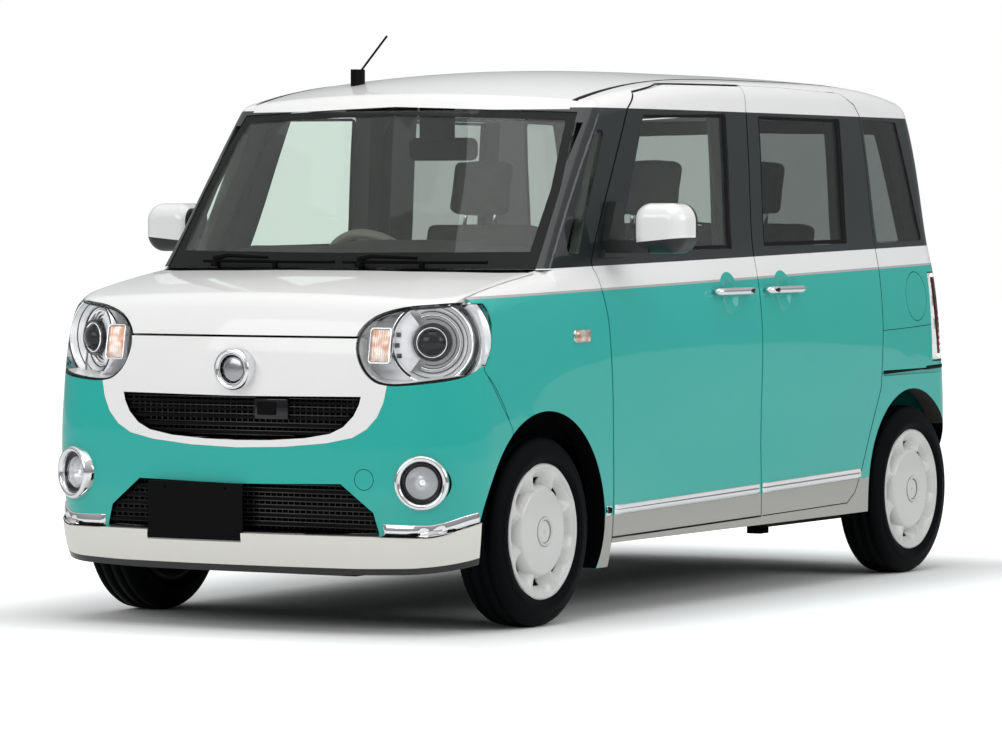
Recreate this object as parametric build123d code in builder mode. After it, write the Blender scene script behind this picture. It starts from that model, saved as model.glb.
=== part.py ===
from build123d import *
import os
from math import cos, radians, sin, sqrt

# Kei-class tall wagon with two hinged front doors and two sliding rear doors.
# Millimetres. +Z up, the front faces -Y, +X is the car's left, z = 0 is the road.

# ---------------------------------------------------------------- driving dimensions
body_length = 3395
body_half_width = 737.5
wheelbase = 2455
front_axle_y = -1137
rear_axle_y = front_axle_y + wheelbase
track_half = 650
tyre_radius = 278.5
tyre_width = 155
rim_radius = 178
front_arch_radius = 352
rear_arch_radius = 336
arch_depth = 330            # how far each arch opening reaches in from the body side
belt_z = 1040               # level where the lower body carries the glasshouse
skin_bottom_z = 150
wall = 60                   # door and side wall, skin to trim
pillar_wall = 45            # inner layer behind the doors
roof_wall = 40
bonnet_wall = 36
glass_inset = 3
glass_thickness = 5
moving_gap = 6              # round every panel that moves
seam = 0.6                  # round every fixed panel
fit = 0.3                   # running clearance at seats, latches and bearings
front_end_y = -body_length / 2
half_gap = moving_gap / 2

os.makedirs("parts", exist_ok=True)


def export(part, name):
    part.label = name
    export_step(part, f"parts/{name}.step")


# ---------------------------------------------------------------- body envelope
# Plan sections, from the road up: height, half width amidships, half width at the front
# corner, half width at the rear corner, nose y, front corner y, tail y, rear corner y,
# front corner radius, rear corner radius.
lower_sections = (
    (skin_bottom_z, 712, 706, 700, -1648, -1590, 1672, 1620, 190, 120),
    (420, 733, 728, 716, -1668, -1612, 1692, 1642, 195, 120),
    (690, body_half_width, 726, 716, -1662, -1608, 1684, 1636, 195, 125),
    (870, 736, 714, 708, -1642, -1588, 1668, 1620, 200, 125),
    (960, 727, 700, 700, -1604, -1545, 1660, 1612, 200, 125),
    (belt_z, 713, 650, 688, -1510, -1440, 1650, 1602, 200, 125),
)
upper_sections = (
    (belt_z, 713, 679.4, 688, -1165, -1052, 1650, 1602, 40, 125),
    (1166, 697, 666, 672, -1070, -956, 1626, 1580, 45, 120),
    (1300, 692, 655, 666, -968, -856, 1592, 1546, 50, 115),
    (1424, 686, 646, 658, -872, -760, 1556, 1510, 55, 110),
    (1553, 677, 636, 646, -766, -656, 1506, 1460, 60, 105),
    (1700, 662, 620, 628, -640, -530, 1440, 1394, 60, 100),
)
# Crowns across the car: y, height amidships, height at the crown's reference half width.
bonnet_crown = (
    (-1800, 908, 868),
    (-1600, 970, 934),
    (-1380, 1014, 984),
    (-1180, 1040, 1018),
    (-1000, 1056, 1042),
)
roof_crown = (
    (-1300, 1392, 1334),
    (-700, 1577, 1519),
    (-250, 1642, 1587),
    (300, 1655, 1604),
    (850, 1653, 1602),
    (1150, 1640, 1588),
    (1400, 1607, 1555),
    (1700, 1535, 1483),
)
crown_half_width = 700
bonnet_edge_radius = 80
roof_edge_radius = 62
split_y = -1000             # where the bonnet crown ends, under the windscreen


def plan_section(row, inset):
    z, w_mid, w_front, w_rear, nose, nose_side, tail, tail_side, r_front, r_rear = row
    front_radius = max(r_front - inset, 12)
    rear_radius = max(r_rear - inset, 12)
    with BuildSketch() as section:
        with BuildLine():
            right_front = TangentArc(
                (w_mid - inset, 0), (w_front - inset, nose_side + inset), tangent=(0, -1)
            )
            nose_arc = ThreePointArc(
                (w_front - inset, nose_side + inset), (0, nose + inset),
                (inset - w_front, nose_side + inset),
            )
            left_front = TangentArc(
                (inset - w_mid, 0), (inset - w_front, nose_side + inset), tangent=(0, -1)
            )
            left_rear = TangentArc(
                (inset - w_mid, 0), (inset - w_rear, tail_side - inset), tangent=(0, 1)
            )
            tail_arc = ThreePointArc(
                (inset - w_rear, tail_side - inset), (0, tail - inset),
                (w_rear - inset, tail_side - inset),
            )
            right_rear = TangentArc(
                (w_mid - inset, 0), (w_rear - inset, tail_side - inset), tangent=(0, 1)
            )
        make_face()
        fillet([v for v in section.vertices() if v.Y < -100], front_radius)
        fillet([v for v in section.vertices() if v.Y > tail_side - inset - 1], rear_radius)
    return section.sketch


def plan_loft(rows, inset):
    with BuildPart() as solid:
        for row in rows:
            with BuildSketch(Plane.XY.offset(row[0])):
                add(plan_section(row, inset))
        loft()
    return solid.part


def crown_loft(rows, drop, floor_z):
    reach = body_half_width + 60
    with BuildPart() as solid:
        for y, z_mid, z_side in rows:
            z_edge = z_mid - (z_mid - z_side) * (reach / crown_half_width) ** 2 - drop
            with BuildSketch(Plane.XZ.offset(-y)):
                with BuildLine():
                    ThreePointArc((-reach, z_edge), (0, z_mid - drop), (reach, z_edge))
                    Polyline((reach, z_edge), (reach, floor_z), (-reach, floor_z), (-reach, z_edge))
                make_face()
        loft()
    return solid.part


def box(x0, x1, y0, y1, z0, z1):
    with BuildPart() as solid:
        with BuildSketch(Plane.XY.offset(z0)):
            with Locations(((x0 + x1) / 2, (y0 + y1) / 2)):
                Rectangle(x1 - x0, y1 - y0)
        extrude(amount=z1 - z0)
    return solid.part


def side_prism(points, x0, x1, grow=0, radius=0):
    """An outline in (y, z), drawn on the side of the car and run from x0 to x1."""
    with BuildPart() as solid:
        with BuildSketch(Plane.YZ.offset(x0)) as sketch:
            with BuildLine():
                Polyline(*points, close=True)
            make_face()
            if radius:
                fillet(sketch.vertices(), radius)
            if grow:
                offset(amount=grow, kind=Kind.INTERSECTION)
        extrude(amount=x1 - x0)
    return solid.part


def face_prism(points, y0, y1, grow=0, radius=0):
    """An outline in (x, z), drawn on the front or rear of the car and run from y0 to y1."""
    with BuildPart() as solid:
        with BuildSketch(Plane.XZ.offset(-y1)) as sketch:
            with BuildLine():
                Polyline(*points, close=True)
            make_face()
            if radius:
                fillet(sketch.vertices(), radius)
            if grow:
                offset(amount=grow, kind=Kind.INTERSECTION)
        extrude(amount=y1 - y0)
    return solid.part


def plan_prism(points, z0, z1, grow=0):
    """An outline in (x, y), drawn on the ground and run from z0 to z1."""
    with BuildPart() as solid:
        with BuildSketch(Plane.XY.offset(z0)):
            with BuildLine():
                Polyline(*points, close=True)
            make_face()
            if grow:
                offset(amount=grow, kind=Kind.INTERSECTION)
        extrude(amount=z1 - z0)
    return solid.part


def rod(radius, start, axis, length):
    with BuildPart() as solid:
        with BuildSketch(Plane(origin=start, z_dir=axis)):
            Circle(radius)
        extrude(amount=length)
    return solid.part


def both_ways(points):
    """Close a half outline given for +X with its mirror image."""
    return tuple(points) + tuple((-x, z) for x, z in reversed(points) if x > 0)


def smoothed(points, steps=3):
    """The open polyline through the points, rounded with steps short edges between each two."""
    ends = [points[0], *points, points[-1]]
    curve = []
    for k in range(len(points) - 1):
        before, start, stop, after = ends[k:k + 4]
        for t in (n / steps for n in range(steps)):
            curve.append(tuple(
                ((2 * b) + (c - a) * t + (2 * a - 5 * b + 4 * c - d) * t ** 2
                 + (3 * b - a - 3 * c + d) * t ** 3) / 2
                for a, b, c, d in zip(before, start, stop, after)
            ))
    return curve + [points[-1]]


def lower_envelope(inset, drop):
    low = plan_loft(lower_sections, inset)
    crown = crown_loft(bonnet_crown, drop, 0)
    rear_block = box(-900, 900, split_y, 1800, 0, belt_z)
    with BuildPart() as solid:
        add(low)
        add(crown + rear_block, mode=Mode.INTERSECT)
        if inset == 0:
            rim = [
                e for e in solid.edges()
                if e.center().Z > 880 and e.center().Y < split_y - 20
                and abs(e.center().Y) > 0 and not e.is_closed
                and e.bounding_box().min.Z > 860 and e.bounding_box().max.Z < belt_z + 1
                and e.bounding_box().max.Y < split_y + 1
            ]
            fillet(rim, bonnet_edge_radius)
    return solid.part


def upper_envelope(inset, drop):
    up = plan_loft(upper_sections, inset)
    crown = crown_loft(roof_crown, drop, belt_z - 100)
    with BuildPart() as solid:
        add(up)
        add(crown, mode=Mode.INTERSECT)
        rim = [e for e in solid.edges() if e.bounding_box().min.Z > 1490 - drop]
        fillet(rim, max(roof_edge_radius - inset, 10))
    return solid.part


lower_outer = lower_envelope(0, 0)
lower_inner = lower_envelope(wall, bonnet_wall)
upper_outer = upper_envelope(0, 0)
upper_inner = upper_envelope(wall, roof_wall)


# ---------------------------------------------------------------- shells
with BuildPart() as shell:
    add(lower_outer)
    add(lower_inner, mode=Mode.SUBTRACT)
lower_shell = shell.part
with BuildPart() as shell:
    add(upper_outer)
    add(upper_inner, mode=Mode.SUBTRACT)
upper_shell = shell.part
glass_skin = upper_envelope(glass_inset, glass_inset) - upper_envelope(
    glass_inset + glass_thickness, glass_inset + glass_thickness
)
pillar_skin = (
    plan_loft(lower_sections, wall + moving_gap) - plan_loft(lower_sections, wall + pillar_wall)
) + (plan_loft(upper_sections, wall + moving_gap) - plan_loft(upper_sections, wall + pillar_wall))


def arch(axle_y, radius, side, grow=0):
    inner = body_half_width - arch_depth
    return rod(radius + grow, (side * inner, axle_y, tyre_radius), (side, 0, 0), arch_depth + 40)


arches = (
    arch(front_axle_y, front_arch_radius, 1) + arch(front_axle_y, front_arch_radius, -1)
    + arch(rear_axle_y, rear_arch_radius, 1) + arch(rear_axle_y, rear_arch_radius, -1)
)


# ---------------------------------------------------------------- panel outlines
def rake(base, y, slope=0.0175):
    """Side lines rise slightly towards the tail."""
    return base + slope * y


b_gap_y = 210
sill_bottom = 222
door_bottom = 247
c_gap_y = 1092
door_outline = (                       # (y, z) along the gap, front door
    (b_gap_y, rake(door_bottom, b_gap_y, 0.0135)),
    (-737, 238),
    (-737, 390),
    (-745, 635),
    (-764, 886),
    (-790, 1022),
    (-800, 1060),
    (-515, 1521),
    (-441, 1572),
    (-242, 1600),
    (b_gap_y, 1602),
)
sliding_outline = (                    # (y, z) along the gap, sliding door
    (b_gap_y, rake(door_bottom, b_gap_y, 0.0135)),
    (b_gap_y, 1602),
    (490, 1600),
    (909, 1589),
    (1002, 1552),
    (1037, 1517),
    (1100, 1080),
    (c_gap_y, 820),
    (1075, 623),
    (995, 480),
    (930, 360),
    (880, 290),
    (824, rake(door_bottom, 824, 0.0135)),
)
front_window = ((-640, 1084), (72, 1090), (72, 1512), (-432, 1504), (-560, 1240))
rear_window = ((290, 1096), (890, 1100), (880, 1505), (290, 1508))
quarter_window = ((1120, 1100), (1478, 1106), (1320, 1500), (1052, 1505))
front_quarter_window = ((-930, 1092), (-862, 1084), (-652, 1455), (-700, 1455))
windscreen_outline = both_ways(((0, belt_z), (650, belt_z), (632, 1278), (592, 1508), (0, 1528)))
bonnet_outline = (                     # (x, y) half, seen from above
    (0, -1800), (392, -1800), (411, -1625), (455, -1619), (596, -1586), (650, -1520),
    (662, -1440), (664, -1085), (560, -1130), (300, -1185), (0, -1200),
)
bonnet_front_z = 850
lamp_curve = (                         # (x, z) half, left lamp seen from the front
    (718, 772), (696, 743), (650, 729), (578, 720), (505, 716), (451, 727), (410, 765),
    (389, 820), (398, 868), (440, 909), (513, 933), (596, 942), (680, 949),
)
lamp_outline = smoothed(lamp_curve) + [(800, 951), (800, 772)]
lamp_rear_edge = ((-1800, 690), (-1474, 690), (-1474, 757), (-1435, 824), (-1424, 892),
                  (-1429, 925), (-1452, 1000), (-1800, 1000))
garnish_outline = both_ways(
    ((0, bonnet_front_z), (420, bonnet_front_z), (420, 790), (493, 715), (484, 670), (464, 626),
     (430, 590), (384, 565), (300, 548), (160, 535), (0, 530))
)
upper_grille_outline = both_ways(
    ((0, 680), (411, 684), (405, 660), (388, 628), (355, 596), (312, 576), (230, 562),
     (110, 554), (0, 552))
)
lower_grille_outline = both_ways(((0, 426), (348, 433), (452, 353), (470, 292), (0, 280)))
lip_bottom_edge = ((-1800, 170), (-1660, 172), (-1400, 218))        # (y, z)
lip_top_edge = ((-1800, 285), (-1640, 285), (-1400, 346))
tailgate_outline = both_ways(((0, 560), (500, 560), (585, 640), (600, 1050), (545, 1512), (0, 1540)))
rear_window_outline = both_ways(((0, 1100), (560, 1100), (515, 1460), (0, 1470)))
tail_lamp_outline = ((606, 700), (800, 700), (800, 1000), (610, 1000))
plate_size = (330, 165)
rear_bumper_top = 620
ditch_x = 566
header_z = 1516
fuel_lid_y = 1370
fuel_lid_z = 920
fuel_lid_radius = 80

left_half = box(0, 900, -1800, 1800, 0, 1800)
outer_x = 900
cowl_half = 645
inner_x = 480               # glass and window cuts run out from here
door_inner_x = 600          # the doors' top rail ends here, outboard of the roof rail


def lamp_space(grow):
    with BuildPart() as space:
        add(face_prism(lamp_outline, -1800, -1400, grow))
        add(side_prism(lamp_rear_edge, 300, 900, grow), mode=Mode.INTERSECT)
        mirror(about=Plane.YZ)
    return space.part


bonnet_plan = both_ways(bonnet_outline)
door_opening = side_prism(door_outline, door_inner_x - moving_gap, outer_x, half_gap)
sliding_opening = side_prism(sliding_outline, door_inner_x - seam, outer_x, seam / 2)
windscreen_space = face_prism(windscreen_outline, -1300, -560)
tailgate_space = face_prism(tailgate_outline, 1380, 1800, half_gap)
front_zone_rear = [(-1800, 0), (-737, 0), (-737, 390), (-745, 635), (-764, 886), (-790, 1022),
                   (-800, 1060), (-800, 1100), (-1800, 1100)]
front_zone = side_prism(front_zone_rear, -900, 900, -half_gap)
fender_zone_left = side_prism(
    [(-1474, 1100), (-1474, 757), (-1336, 585), (-1336, 100), (-737, 100), (-737, 390),
     (-745, 635), (-764, 886), (-790, 1022), (-800, 1060), (-800, 1100)], cowl_half, outer_x, -half_gap
)


def cut_from(base, keep=(), remove=()):
    """One panel: what a shell has inside some regions and outside others."""
    with BuildPart() as panel:
        add(base)
        for region in keep:
            add(region, mode=Mode.INTERSECT)
        for region in remove:
            add(region, mode=Mode.SUBTRACT)
    return panel.part


def both_sides(part):
    with BuildPart() as pair:
        add(part)
        mirror(about=Plane.YZ)
    return pair.part


def pair_box(x0, x1, *rest):
    return both_sides(box(x0, x1, *rest))


def flipped(part):
    with BuildPart() as other:
        add(part)
        mirror(about=Plane.YZ, mode=Mode.REPLACE)
    return other.part


# ---------------------------------------------------------------- front end
bonnet_hole = plan_prism(bonnet_plan, bonnet_front_z, 1100)
bonnet_space = plan_prism(bonnet_plan, bonnet_front_z + moving_gap, 1100, -moving_gap)
bonnet_skirt_cut = pair_box(560, 700, -1500, -1060, bonnet_front_z, 930)
with BuildPart() as bonnet:
    add(lower_shell)
    add(bonnet_space, mode=Mode.INTERSECT)
    add(lamp_space(moving_gap), mode=Mode.SUBTRACT)
    add(bonnet_skirt_cut, mode=Mode.SUBTRACT)
export(bonnet.part, "bonnet")

with BuildPart() as front_fender_left:
    add(lower_shell)
    add(fender_zone_left, mode=Mode.INTERSECT)
    add(bonnet_hole, mode=Mode.SUBTRACT)
    add(lamp_space(seam), mode=Mode.SUBTRACT)
    add(arches, mode=Mode.SUBTRACT)
export(front_fender_left.part, "front_fender_left")
export(flipped(front_fender_left.part), "front_fender_right")

bumper_rear = side_prism(
    [(-1800, 100), (-1336 - seam, 100), (-1336 - seam, 585), (-1474 - seam, 757),
     (-1474 - seam, 1100), (-1800, 1100)], -900, 900
)
garnish_space = face_prism(garnish_outline, -1800, -1450)
upper_grille_space = face_prism(upper_grille_outline, -1800, -1450)
lower_grille_space = face_prism(lower_grille_outline, -1800, -1450)
fog_lamp_place = (606, 441)
fog_lamp_radius = 68
fog_holes = both_sides(
    rod(fog_lamp_radius, (fog_lamp_place[0], -1750, fog_lamp_place[1]), (0, 1, 0), 260)
)
above_lip = side_prism(
    [(y, z + seam) for y, z in lip_top_edge] + [(-1300, lip_top_edge[-1][1] + seam),
                                                (-1300, bonnet_front_z), (-1800, bonnet_front_z)],
    -900, 900,
)
with BuildPart() as front_bumper:
    add(lower_shell)
    add(bumper_rear, mode=Mode.INTERSECT)
    add(above_lip, mode=Mode.INTERSECT)
    for space in (garnish_space, lower_grille_space, lamp_space(seam), fog_holes, arches):
        add(space, mode=Mode.SUBTRACT)
export(front_bumper.part, "front_bumper")

with BuildPart() as front_garnish:
    add(lower_shell)
    add(face_prism(garnish_outline, -1800, -1450, -seam), mode=Mode.INTERSECT)
    add(upper_grille_space, mode=Mode.SUBTRACT)
    add(lamp_space(seam), mode=Mode.SUBTRACT)
    with BuildSketch(Plane.XZ.offset(1690)):
        with Locations((0, 758)):
            Circle(60)
            Circle(42, mode=Mode.SUBTRACT)
    extrude(amount=-40)
export(front_garnish.part, "front_garnish")

lip_sections = (                       # columns as in lower_sections
    (150, 694, 690, 676, front_end_y + 26, -1590, 1692, 1642, 190, 120),
    (230, 716, 714, 700, front_end_y, -1612, 1692, 1642, 205, 120),
    (380, 718, 716, 702, front_end_y + 3, -1612, 1692, 1642, 205, 120),
)
lip_end_y = -1478
with BuildPart() as front_lip:
    add(plan_loft(lip_sections, 0))
    add(side_prism(list(lip_bottom_edge) + list(reversed(lip_top_edge)), -900, 900), mode=Mode.INTERSECT)
    add(box(-900, 900, -1800, lip_end_y, 0, 400), mode=Mode.INTERSECT)
    add(plan_loft(lip_sections, wall), mode=Mode.SUBTRACT)
    add(box(-300, 36, -1800, -1683, 258, 500), mode=Mode.SUBTRACT)
    add(arches, mode=Mode.SUBTRACT)
export(front_lip.part, "front_lip")

slat_face_y = -1640
plate_hole_pitch = 210
plate_hole_radius = 3.5
plate_hole_z = 412
plate_place = (-132, 344)
plate_face = 1688
plate_thickness = 4
with BuildPart() as grilles:
    for outline, z_low, z_high in (
        (upper_grille_outline, 552, 684), (lower_grille_outline, 286, 433),
    ):
        pitch = (z_high - z_low) / 6
        add(cut_from(face_prism(outline, slat_face_y, slat_face_y + 46, -seam),
                     (box(-900, 900, -1800, 0, z_low, z_high),),
                     [box(-900, 900, slat_face_y - 1, slat_face_y + 34,
                          z_low + pitch * k + 4, z_low + pitch * (k + 1) - 4) for k in range(6)]))
    add(above_lip, mode=Mode.INTERSECT)
export(grilles.part, "grilles")

with BuildPart() as headlamps:
    add(lower_shell)
    add(lamp_space(0), mode=Mode.INTERSECT)
export(headlamps.part, "headlamps")

with BuildPart() as fog_lamps:
    for x in (-fog_lamp_place[0], fog_lamp_place[0]):
        with BuildSketch(Plane.XZ.offset(1550)):
            with Locations((x, fog_lamp_place[1])):
                Circle(fog_lamp_radius - fit)
        extrude(amount=86)
export(fog_lamps.part, "fog_lamps")

with BuildPart() as number_plate:
    with BuildSketch(Plane.XZ.offset(plate_face - plate_thickness)):
        with Locations(plate_place):
            Rectangle(*plate_size)
    extrude(amount=plate_thickness)
    with BuildSketch(Plane.XZ.offset(-slat_face_y + fit)):
        with Locations((plate_place[0], plate_place[1] + 6)):
            Rectangle(200, 40)
    extrude(amount=plate_face - plate_thickness + slat_face_y - fit)
    with Locations(Plane.XZ.offset(plate_face)):
        with Locations((plate_place[0] - plate_hole_pitch / 2, plate_hole_z),
                       (plate_place[0] + plate_hole_pitch / 2, plate_hole_z)):
            Hole(plate_hole_radius, depth=plate_thickness)
export(number_plate.part, "number_plate")

# ---------------------------------------------------------------- glasshouse and body sides
roof_space = box(-ditch_x, ditch_x, -900, 1800, header_z, 1700)
with BuildPart() as roof_panel:
    add(upper_shell)
    add(box(-ditch_x + seam, ditch_x - seam, -900, 1800, header_z + seam, 1700), mode=Mode.INTERSECT)
    add(windscreen_space, mode=Mode.SUBTRACT)
    add(tailgate_space, mode=Mode.SUBTRACT)
export(roof_panel.part, "roof_panel")

with BuildPart() as windscreen:
    add(glass_skin)
    add(face_prism(windscreen_outline, -1300, -560, -fit), mode=Mode.INTERSECT)
    add(roof_space, mode=Mode.SUBTRACT)
export(windscreen.part, "windscreen")

glass_reach = (inner_x, outer_x)
fixed_windows = (quarter_window, front_quarter_window)
with BuildPart() as side_glass:
    for outline in (quarter_window, front_quarter_window, rear_window):
        add(cut_from(glass_skin, (side_prism(outline, *glass_reach, -fit, 12),)))
    mirror(about=Plane.YZ)
export(side_glass.part, "side_glass")

tail_lamp_space = face_prism(tail_lamp_outline, 1480, 1800)
rear_bumper_space = side_prism(
    [(1580, 100), (1800, 100), (1800, rear_bumper_top), (1580, rear_bumper_top)], -900, 900
)
b_post = side_prism([(140, 230), (280, 230), (280, 1600), (140, 1600)], 0, outer_x)
door_head_space = box(door_inner_x - moving_gap, outer_x, 0, 400, 1540, 1700)
sill_inner_x = 560
door_stop_clearance = 1.4
stop_face_x = body_half_width - wall - door_stop_clearance
door_stop = box(stop_face_x - 20, stop_face_x, 150, 190, 675, 705)    # latch striker of the door
rail_slot = box(715, 900, 1092, 1600, 662, 680)
side_base = cut_from(lower_shell, (box(0, 900, -737, 1800, sill_bottom, belt_z),), (front_zone,))
side_top = cut_from(upper_shell, (left_half,))
body_tailgate_space = face_prism(tailgate_outline, 1380, 1800, half_gap)
with BuildPart() as body_side_left:
    add(side_base)
    add(side_top)
    add(roof_space, mode=Mode.SUBTRACT)
    add(windscreen_space, mode=Mode.SUBTRACT)
    add(box(-900, 620, -1800, -500, 0, header_z - 40), mode=Mode.SUBTRACT)
    add(body_tailgate_space, mode=Mode.SUBTRACT)
    add(door_opening, mode=Mode.SUBTRACT)
    add(sliding_opening, mode=Mode.SUBTRACT)
    for outline in fixed_windows:
        add(side_prism(outline, *glass_reach, 0, 12), mode=Mode.SUBTRACT)
    add(cut_from(pillar_skin, (b_post, left_half), (door_head_space,)))
    add(box(sill_inner_x, 700, -737 + moving_gap, 990, sill_bottom, sill_bottom + 16))
    add(box(sill_inner_x, 640, -737 + moving_gap, 990, sill_bottom, 300))
    add(tail_lamp_space, mode=Mode.SUBTRACT)
    add(rear_bumper_space, mode=Mode.SUBTRACT)
    add(arches, mode=Mode.SUBTRACT)
    add(rail_slot, mode=Mode.SUBTRACT)
    add(door_stop)
body_side_right = flipped(body_side_left.part)
with BuildPart() as fuel_hole:
    add(rod(fuel_lid_radius + 3, (600, fuel_lid_y, fuel_lid_z), (1, 0, 0), 300))
fuel_zone = lower_envelope(8 + fit, 8 + fit)
side_with_hole = cut_from(body_side_left.part, (), (fuel_hole.part - fuel_zone,))
export(side_with_hole, "body_side_left")
export(body_side_right, "body_side_right")

with BuildPart() as fuel_lid:
    add(lower_outer)
    add(lower_envelope(8, 8), mode=Mode.SUBTRACT)
    add(rod(fuel_lid_radius, (600, fuel_lid_y, fuel_lid_z), (1, 0, 0), 300), mode=Mode.INTERSECT)
export(fuel_lid.part, "fuel_lid")

with BuildPart() as tail_lamps:
    add(lower_outer)
    add(face_prism(tail_lamp_outline, 1480, 1800, -fit), mode=Mode.INTERSECT)
    add(lower_envelope(45, 45), mode=Mode.SUBTRACT)
    mirror(about=Plane.YZ)
export(tail_lamps.part, "tail_lamps")

with BuildPart() as rear_bumper:
    add(lower_shell)
    add(side_prism(
        [(1580 + seam, 190), (1800, 190), (1800, rear_bumper_top - seam),
         (1580 + seam, rear_bumper_top - seam)], -900, 900), mode=Mode.INTERSECT)
    add(tailgate_space, mode=Mode.SUBTRACT)
    add(arches, mode=Mode.SUBTRACT)
export(rear_bumper.part, "rear_bumper")

# ---------------------------------------------------------------- doors
handle_size = (256, 22, 24)
handle_z = 960
door_skin_x = 727
front_scoop_y = 5
sliding_scoop_y = 370
scoop_radius = 57
scoop_depth = 14


def handle_scoop(y):
    """A round hollow in the door skin behind the handle."""
    ball = (scoop_radius ** 2 + scoop_depth ** 2) / (2 * scoop_depth)
    with BuildPart() as scoop:
        with Locations((door_skin_x - scoop_depth + ball, y, handle_z)):
            Sphere(ball)
    return scoop.part


with BuildPart() as front_door_left:
    add(lower_shell)
    add(upper_shell)
    add(side_prism(door_outline, door_inner_x, outer_x, -half_gap), mode=Mode.INTERSECT)
    add(side_prism(front_window, *glass_reach, 0, 12), mode=Mode.SUBTRACT)
    add(handle_scoop(front_scoop_y), mode=Mode.SUBTRACT)
export(front_door_left.part, "front_door_left")
export(flipped(front_door_left.part), "front_door_right")

with BuildPart() as front_door_glass_left:
    add(glass_skin)
    add(side_prism(front_window, *glass_reach, -fit, 12), mode=Mode.INTERSECT)
export(front_door_glass_left.part, "front_door_glass_left")
export(flipped(front_door_glass_left.part), "front_door_glass_right")

with BuildPart() as sliding_door_left:
    add(lower_shell)
    add(upper_shell)
    add(side_prism(sliding_outline, door_inner_x, outer_x, -seam / 2), mode=Mode.INTERSECT)
    add(box(0, 900, 0, b_gap_y + half_gap, 0, 1700), mode=Mode.SUBTRACT)
    add(side_prism(rear_window, *glass_reach, 0, 12), mode=Mode.SUBTRACT)
    add(handle_scoop(sliding_scoop_y), mode=Mode.SUBTRACT)
    add(arches, mode=Mode.SUBTRACT)
export(sliding_door_left.part, "sliding_door_left")
export(flipped(sliding_door_left.part), "sliding_door_right")

def door_handle(y_mid):
    length, deep, high = handle_size
    with BuildPart() as handle:
        with BuildSketch(Plane.YZ.offset(door_skin_x + 16)):
            with Locations((y_mid, handle_z)):
                SlotOverall(length, high)
        extrude(amount=deep)
        with BuildSketch(Plane.YZ.offset(door_skin_x - 4)):
            with Locations((y_mid - length / 2 + 20, handle_z), (y_mid + length / 2 - 20, handle_z)):
                Rectangle(24, 16)
        extrude(amount=24)
        add(lower_outer, mode=Mode.SUBTRACT)
    return handle.part


front_handle = door_handle(front_scoop_y + 11)
export(front_handle, "door_handle_left")
export(flipped(front_handle), "door_handle_right")
export(both_sides(door_handle(sliding_scoop_y - 12)), "sliding_door_handles")

mirror_centre = (875, -690, 1160)
mirror_size = (172, 110, 150)           # across, front to back, high
mirror_front_y = mirror_centre[1] - mirror_size[1] / 2
mirror_sail = ((-742, 1072), (-604, 1074), (-626, 1232), (-668, 1240))      # (y, z)
sail_face_x = 703
with BuildPart() as door_mirror_left:
    with BuildSketch(Plane.XZ.offset(-mirror_front_y)):
        with Locations((mirror_centre[0], mirror_centre[2])):
            RectangleRounded(mirror_size[0], mirror_size[2], 55)
    extrude(amount=-mirror_size[1])
    fillet(door_mirror_left.edges().group_by(Axis.Y)[0], 45)
    add(box(sail_face_x - 20, mirror_centre[0] - 30, mirror_centre[1] - 42, mirror_centre[1] + 36,
            1087, 1124))
    add(side_prism(mirror_sail, 600, sail_face_x))
    add(lower_outer, mode=Mode.SUBTRACT)
    add(upper_outer, mode=Mode.SUBTRACT)
export(door_mirror_left.part, "door_mirror_left")
export(flipped(door_mirror_left.part), "door_mirror_right")

# ---------------------------------------------------------------- tailgate
tailgate_top = cut_from(
    upper_shell, (face_prism(tailgate_outline, 1380, 1800, -half_gap),),
    (face_prism(rear_window_outline, 1380, 1800),),
)
tailgate_base = cut_from(lower_shell, (face_prism(tailgate_outline, 1380, 1800, -half_gap),))
rear_plate_hole_z = 868
with BuildPart() as tailgate:
    add(tailgate_top)
    add(tailgate_base)
    for x in (-plate_hole_pitch / 2, plate_hole_pitch / 2):
        add(rod(plate_hole_radius, (x, 1590, rear_plate_hole_z), (0, 1, 0), 100), mode=Mode.SUBTRACT)
export(tailgate.part, "tailgate")

with BuildPart() as tailgate_glass:
    add(glass_skin)
    add(face_prism(rear_window_outline, 1380, 1800, -fit), mode=Mode.INTERSECT)
export(tailgate_glass.part, "tailgate_glass")

with BuildPart() as tailgate_trim:
    with BuildSketch(Plane.XZ.offset(-1630)):
        with Locations((0, 800)):
            Rectangle(plate_size[0] + 20, plate_size[1] + 20)
    extrude(amount=-(1676 - 1630))
    with BuildSketch(Plane.XZ.offset(-1630)):
        with Locations((0, 915)):
            Rectangle(520, 36)
    extrude(amount=-(1684 - 1630))
    with Locations(Plane(origin=(0, 1676, rear_plate_hole_z), x_dir=(1, 0, 0), z_dir=(0, 1, 0))):
        with Locations((-plate_hole_pitch / 2, 0), (plate_hole_pitch / 2, 0)):
            Hole(plate_hole_radius, depth=30)
    add(lower_outer, mode=Mode.SUBTRACT)
export(tailgate_trim.part, "tailgate_trim")


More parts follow.
